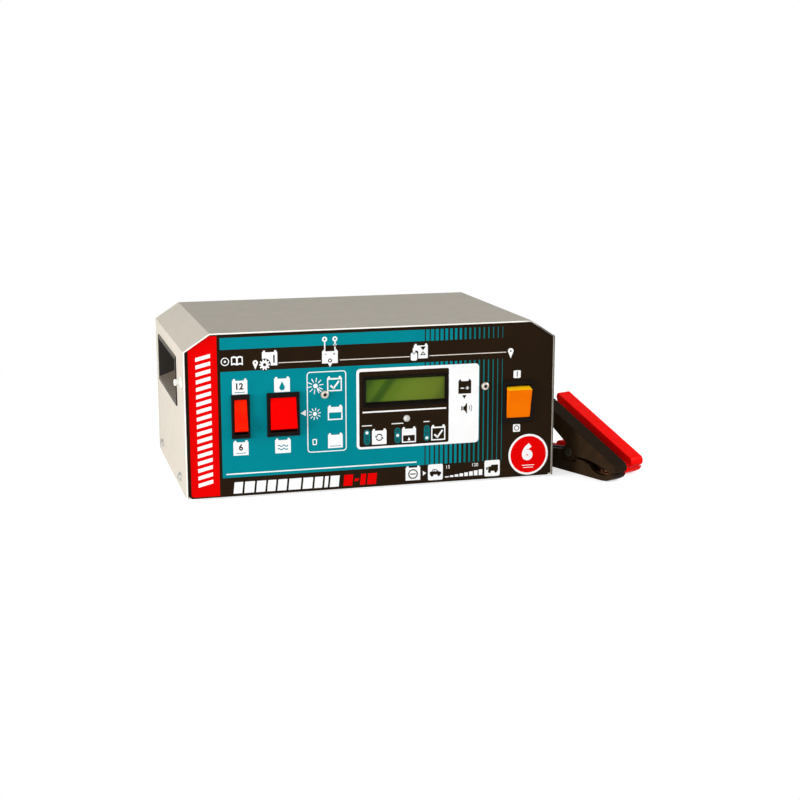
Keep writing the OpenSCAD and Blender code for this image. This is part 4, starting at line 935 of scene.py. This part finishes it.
def capsule(panel, x0, z0, x1, z1, lit):
    """Three lamps in a capsule, of which one is lit."""
    mid_x = (x0 + x1) / 2
    radius = (x1 - x0) / 2
    panel.add(ink_deep_teal, 2, rounded_rect(x0, z0, x1, z1, radius * 0.98, 8))
    for i in range(3):
        z = z1 - radius - i * (z1 - z0 - 2 * radius) / 2
        if i == lit:
            panel.add(ink_white, 3, disc(mid_x, z, 1.15, 20))
        else:
            panel.black(disc(mid_x, z, 1.25, 20), disc(mid_x, z, 0.75, 20))


def print_lamp_signs(panel):
    """The three states below the display."""
    capsule(panel, -8.6, 32, -3.8, 43.6, 0)
    panel.white(battery(-2.4, 32, 8.7, 43.8))
    for start in (20, 200):
        panel.black(stroke(arc(3.15, 37.3, 2.3, start, start + 125, 12), 0.8))
        x, z = arc(3.15, 37.3, 2.3, start, start + 135, 12)[-1]
        turn = radians(start + 135)
        tip = (x - 1.4 * sin(turn), z + 1.4 * cos(turn))
        side = (1.2 * cos(turn), 1.2 * sin(turn))
        panel.black([tip, (x + side[0], z + side[1]), (x - side[0], z - side[1])])
    capsule(panel, 14.9, 32, 19.5, 43.8, 1)
    inside = outlined_battery(panel, 20.5, 32, 31.4, 43.9)
    panel.white(rect(inside[0][0] - 0.1, 37.6, inside[1][0] + 0.1, inside[2][1] + 0.1))
    panel.white([(24.9, 33.6), (27.1, 33.6), (26, 36.2)])
    capsule(panel, 37.5, 32.4, 42.1, 44.3, 2)
    outlined_battery(panel, 43.2, 32.4, 54.2, 44.2)
    tick(panel, 48.7, 37)
    for left, right, z in ((-10, -2.4, 46.2), (12.6, 21.6, 46.6), (37.2, 41.8, 46.8)):
        panel.white(rect(left, z, right, z + 0.7))


def print_steps(panel):
    """The row of signs along the black band: read, set, clamp, wait, unplug."""
    x = -101.5
    for side in (-1, 1):
        cover = [(x, 96.2), (x + side * 2.2, 96.9), (x + side * 4.2, 96.2), (x + side * 4.2, 102.3),
                 (x + side * 2.2, 103), (x, 102.3)]
        page = [(x + side * 0.6, 97.5), (x + side * 2.2, 98), (x + side * 3.4, 97.6),
                (x + side * 3.4, 101.3), (x + side * 2.2, 101.8), (x + side * 0.6, 101.3)]
        panel.white(cover, page)
    panel.white(disc(-110.1, 99.2, 3, 32), disc(-110.1, 99.2, 2.35, 32))
    panel.white(disc(-110.1, 99.2, 0.8, 16))
    for x, z, size in ((-88.3, 96.9, 1), (105.1, 96.7, 1.15)):
        head = arc(x, z + 0.6 * size, 1.9 * size, -35, 215, 20)
        panel.white(head + [(x, z - 4.2 * size)], disc(x, z + 0.6 * size, 0.6 * size, 12))
    gear = []
    for i in range(10):
        turn = 360 * i / 10
        for radius, angle in ((2.9, turn - 10), (4, turn - 7), (4, turn + 7), (2.9, turn + 10)):
            gear.append((-81.6 + radius * cos(radians(angle)), 95.8 + radius * sin(radians(angle))))
    panel.inlay(gear, disc(-81.6, 95.8, 1.2, 16))
    panel.black(disc(-81.6, 95.8, 4.5, 32))
    panel.white(battery(-83.4, 95, -72.3, 106))
    panel.black(rect(-75.3, 97, -74.2, 102.6))
    for left, right in ((-71.5, -40.4), (-26.2, 26.4), (41.6, 101.6)):
        panel.add(ink_line, 2, rect(left, 96.4, right, 97))
    panel.white(battery(-39.4, 94.6, -27.8, 104.6))
    panel.black(rect(-37.6, 101.2, -36, 101.6))
    panel.black(rect(-31.4, 101.2, -29.6, 101.6))
    panel.black(rect(-30.7, 100.6, -30.3, 102.2))
    panel.black(disc(-33.6, 96.6, 1.5, 20), disc(-33.6, 96.6, 0.8, 20))
    panel.inlay([(-35.4, 95), (-31.8, 95), (-33.6, 91.8)])
    for x in (-37.4, -29.8):
        panel.white(disc(x, 112.3, 1.9, 24), disc(x, 112.3, 0.8, 24))
        panel.white(rect(x - 0.45, 104.2, x + 0.45, 110.6))
    panel.white([(-31.2, 108.6), (-28.4, 108.6), (-29.8, 106)])
    panel.white(battery(29.6, 95, 40.3, 106))
    panel.black([(34.4, 103.8), (38.8, 103.8), (36.6, 101)])
    panel.black([(34.4, 97.4), (38.8, 97.4), (36.6, 100.4)], [(35.6, 98), (37.6, 98), (36.6, 99.4)])
    panel.black(rounded_rect(26.4, 93, 33, 101, 1.6))
    panel.inlay(rounded_rect(27.2, 93.6, 32.2, 99.6, 1.4))
    panel.inlay(rounded_rect(28.8, 98.6, 30.6, 103.2, 0.8))


def print_power_side(panel):
    """The I and O beside the power switch, and the red disc with its number."""
    panel.white(rounded_rect(107.6, 76.6, 113.3, 82.4, 0.8))
    panel.black(rect(110.2, 77.6, 110.9, 81.6))
    panel.white(rounded_rect(107.8, 35.1, 113.5, 41, 0.8))
    panel.black(disc(110.65, 38.05, 2, 28), disc(110.65, 38.05, 1.45, 28))
    panel.white(disc(120.4, 16.9, 15.9, 96))
    panel.add(ink_red, 3, disc(120.4, 16.9, 14.3, 96))
    panel.number(ink_white, 4, "6", 119.6, 19, 13.4, 0.07)
    for half, z in ((5, 8.3), (4, 6.5)):
        panel.inlay(rect(120.4 - half, z, 120.4 + half, z + 0.5))


def print_foot(panel):
    """The foot of the panel: a plain bar, two rows of slanted blocks, and the scale of sizes."""
    panel.white(rect(-110.9, 16.2, 31.9, 17.1))
    x = -106
    for width in (6.3, 7.2, 6.7, 6, 6.7, 9, 7.2, 6, 2.7, 6.8):
        panel.white(slanted(x, 2, x + width, 10.4, 0.9))
        x += width + 1.5
    x = -24.4
    for width, low, high in ((6.8, 2, 10.4), (3.1, 5.2, 7.2), (4, 2, 10.4), (6.8, 2, 10.4)):
        panel.add(ink_red, 2, slanted(x, low, x + width, high, 0.9))
        x += width + 1.4
    panel.white(battery(23.4, 2.8, 34.8, 13.8))
    panel.black(disc(29.1, 7.6, 3.7, 32), disc(29.1, 7.6, 2.9, 32))
    panel.black(stroke([(27, 7.6), (31.2, 7.6)], 0.8))
    panel.white([(36.8, 5.8), (36.8, 9.4), (39.4, 7.6)])
    panel.white(rounded_rect(40.8, 1.8, 52.4, 14, 1.2))
    panel.black([
        (42.2, 6), (51, 6), (51, 7.8), (48.9, 8.5), (47.2, 10.2), (44.6, 10.2), (43.4, 8.5),
        (42.2, 8.2),
    ])
    for x in (44, 49.2):
        panel.black(disc(x, 5.7, 1.1, 20))
    panel.inlay([(44.2, 8.6), (45.4, 8.6), (45.4, 9.7), (44.9, 9.7)])
    panel.inlay([(45.9, 8.6), (47.8, 8.6), (46.9, 9.7), (45.9, 9.7)])
    for i in range(8):
        left = 54.2 + 3.8 * i
        panel.white(rect(left, 3.2, left + 2.9, 4 + 0.52 * i))
    panel.number(ink_white, 2, "15", 56.6, 11.2, 2.6)
    panel.number(ink_white, 2, "120", 78, 11.6, 2.6)
    panel.white(rounded_rect(85.4, 1.8, 97.6, 14.2, 1.2))
    panel.black([(88.4, 5.8), (96.2, 5.8), (96.2, 10.6), (90.6, 10.6), (90.6, 9.4), (88.4, 9.4)])
    panel.black([(86.6, 7), (88, 7), (88, 9), (86.9, 9)])
    for x in (89.4, 94.4):
        panel.black(disc(x, 5.4, 1.1, 20))


def make_panel():
    panel = Panel()
    print_fields(panel)
    print_red_band(panel)
    print_switch_cards(panel)
    print_lamp_key(panel)
    print_display_frame(panel)
    print_lamp_signs(panel)
    print_steps(panel)
    print_power_side(panel)
    print_foot(panel)
    panel.build()


# ---- Swept pieces: springs, strain relief and tie ----


def sweep(name, points, section, finish, body=CASING, closed=False, up=(0, 0, 1), smooth_angle=50):
    """A mesh swept along points: section(i) gives the outline there, as across and up offsets."""
    count = len(points)
    verts, rings = [], []
    across = None
    for i, point in enumerate(points):
        before = points[(i - 1) % count] if closed else points[max(i - 1, 0)]
        after = points[(i + 1) % count] if closed else points[min(i + 1, count - 1)]
        along = (after - before).normalized()
        lean = Vector(up) if across is None or closed else across.cross(along).normalized() * -1
        side = along.cross(lean).normalized()
        if across is not None and side.dot(across) < 0:
            side = -side
        across = side
        rise = across.cross(along).normalized()
        outline = section(i)
        rings.append(range(len(verts), len(verts) + len(outline)))
        verts += [point + across * a + rise * b for a, b in outline]
    faces = []
    for i in range(count if closed else count - 1):
        ring, following = rings[i], rings[(i + 1) % count]
        for k in range(len(ring)):
            m = (k + 1) % len(ring)
            faces.append((ring[k], ring[m], following[m], following[k]))
    if not closed:
        faces += [tuple(rings[0])[::-1], tuple(rings[-1])]
    piece = mesh_object(name, verts, faces, finish, body, smooth_angle)
    work = bmesh.new()
    work.from_mesh(piece.data)
    bmesh.ops.recalc_face_normals(work, faces=work.faces)
    work.to_mesh(piece.data)
    work.free()
    return piece


def circle_section(radius, sides=14):
    turns = [2 * pi * k / sides for k in range(sides)]
    return [(radius * cos(turn), radius * sin(turn)) for turn in turns]


CLAMP_TURN = radians(-68.5)
CLAMPS = {"black": (152.3, -39.3), "red": (173.7, -21.1)}
PIVOT_X = 34
PIVOT_Z = 15.5
SPRING_R = 3
SPRING_WIRE = 1
SPRING_PITCH = 1.6
SPRING_START = 30
SPRING_SWEEP = 95 + 2 * 360
SPRING_LEG_UP = 24.7
SPRING_LEG_DOWN = 24.3
SPRING_STEPS = 54
LEG_STEPS = 8


def in_clamp(name, x, y, z):
    """A point of a clamp, in millimetres along it from its tail, across it and up, in the frame."""
    place = CLAMPS[name]
    return from_cad((
        place[0] + x * cos(CLAMP_TURN) - y * sin(CLAMP_TURN),
        place[1] + x * sin(CLAMP_TURN) + y * cos(CLAMP_TURN),
        z,
    ))


def spring_path(name):
    """A leg in the upper arm, the turns round the rivet, and a leg in the lower arm."""
    half = SPRING_PITCH * SPRING_SWEEP / 720
    first = radians(SPRING_START)
    final = radians(SPRING_START - SPRING_SWEEP)
    turns = []
    for i in range(SPRING_STEPS + 1):
        turn = first + (final - first) * i / SPRING_STEPS
        across = -half + 2 * half * i / SPRING_STEPS
        turns.append((PIVOT_X + SPRING_R * cos(turn), across, PIVOT_Z + SPRING_R * sin(turn)))
    leg_up, leg_down = [], []
    for i in range(LEG_STEPS):
        x, y, z = turns[0]
        far = SPRING_LEG_UP * ((LEG_STEPS - i) / LEG_STEPS)
        leg_up.append((x - far * sin(first), y, z + far * cos(first)))
        x, y, z = turns[-1]
        far = SPRING_LEG_DOWN * ((i + 1) / LEG_STEPS)
        leg_down.append((x + far * sin(final), y, z - far * cos(final)))
    return [in_clamp(name, *p) for p in leg_up + turns + leg_down], half


def make_springs():
    for name in CLAMPS:
        points, half = spring_path(name)
        outline = circle_section(SPRING_WIRE / 2 * MM)
        spring = sweep(
            name + "_clamp_spring", points, lambda i: outline, wire, body=None, up=(0.3, 0.1, 1)
        )
        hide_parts(name + "_spring")
        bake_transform(spring)


def along_route(route, start, length, step):
    """Points on a smooth line through a route of part.scad, from a distance along it."""
    steps = 12
    knots = [Vector(p) for p in route]
    fine = []
    for i in range(len(knots) - 1):
        before, a, b = knots[max(i - 1, 0)], knots[i], knots[i + 1]
        after = knots[min(i + 2, len(knots) - 1)]
        for k in range(steps):
            t = k / steps
            fine.append(0.5 * (
                2 * a + (b - before) * t + (2 * before - 5 * a + 4 * b - after) * t ** 2
                + (3 * a - before - 3 * b + after) * t ** 3
            ))
    fine.append(knots[-1])
    points, passed, wanted = [], 0, start
    for a, b in zip(fine, fine[1:]):
        size = (b - a).length
        while passed + size >= wanted and wanted <= start + length:
            points.append(from_cad(a.lerp(b, (wanted - passed) / size)))
            wanted += step
        passed += size
    return points


def make_strain_relief():
    """A ribbed, tapered sleeve on the lead where it leaves its gland."""
    gland_end, sunk = 95.5, 0.6
    length, step = 26, 0.4
    base_r, taper = 5.4, 1.5
    rib_h, rib_pitch, rib_from, rib_to = 0.55, 3.2, 0.12, 0.93
    end_r, end_l = 0.4, 0.8
    points = along_route(lead_start, gland_end - sunk - lead_start[0][1], length, step)
    last = len(points) - 1

    def section(i):
        share = i / last
        body = base_r - taper * share
        wave = max(0, sin(2 * pi * (i * step / rib_pitch))) ** 0.5
        rib = rib_h * wave if rib_from < share < rib_to else 0
        rounding = end_r * max(0, 1 - (last - i) * step / end_l)
        return circle_section((body + rib - rounding) * MM, 24)

    relief = sweep("lead_strain_relief", points, section, black_plastic, smooth_angle=40)


def make_tie():
    """A hook-and-loop strap round the coil, as one closed loop."""
    inner_r, outer_r = 25.25, 50.25
    low, high = 0.95, 16.25
    width, thick = 9, 0.8
    corner_r = 3.4
    mid = thick / 2
    x0, x1 = COIL_AT[0] - outer_r - mid, COIL_AT[0] - inner_r + mid
    loop = rounded_rect(x0, low - mid, x1, high + mid, corner_r, 8)
    points = [from_cad((x, COIL_AT[1], z)) for x, z in loop]
    half_w, half_t = width / 2 * MM, thick / 2 * MM
    bevel = 0.2 * MM
    outline = [
        (-half_w + bevel, -half_t), (half_w - bevel, -half_t), (half_w, -half_t + bevel),
        (half_w, half_t - bevel), (half_w - bevel, half_t), (-half_w + bevel, half_t),
        (-half_w, half_t - bevel), (-half_w, -half_t + bevel),
    ]
    turned = [(b, a) for a, b in outline]
    strap = sweep("lead_strap", points, lambda i: turned, cord_black, closed=True, up=(0, 1, 0))
    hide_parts("lead_tie")
    return strap


lead, black_cord, red_cord = make_cords()
finish_nodes()
make_panel()
make_springs()
make_strain_relief()
strap = make_tie()
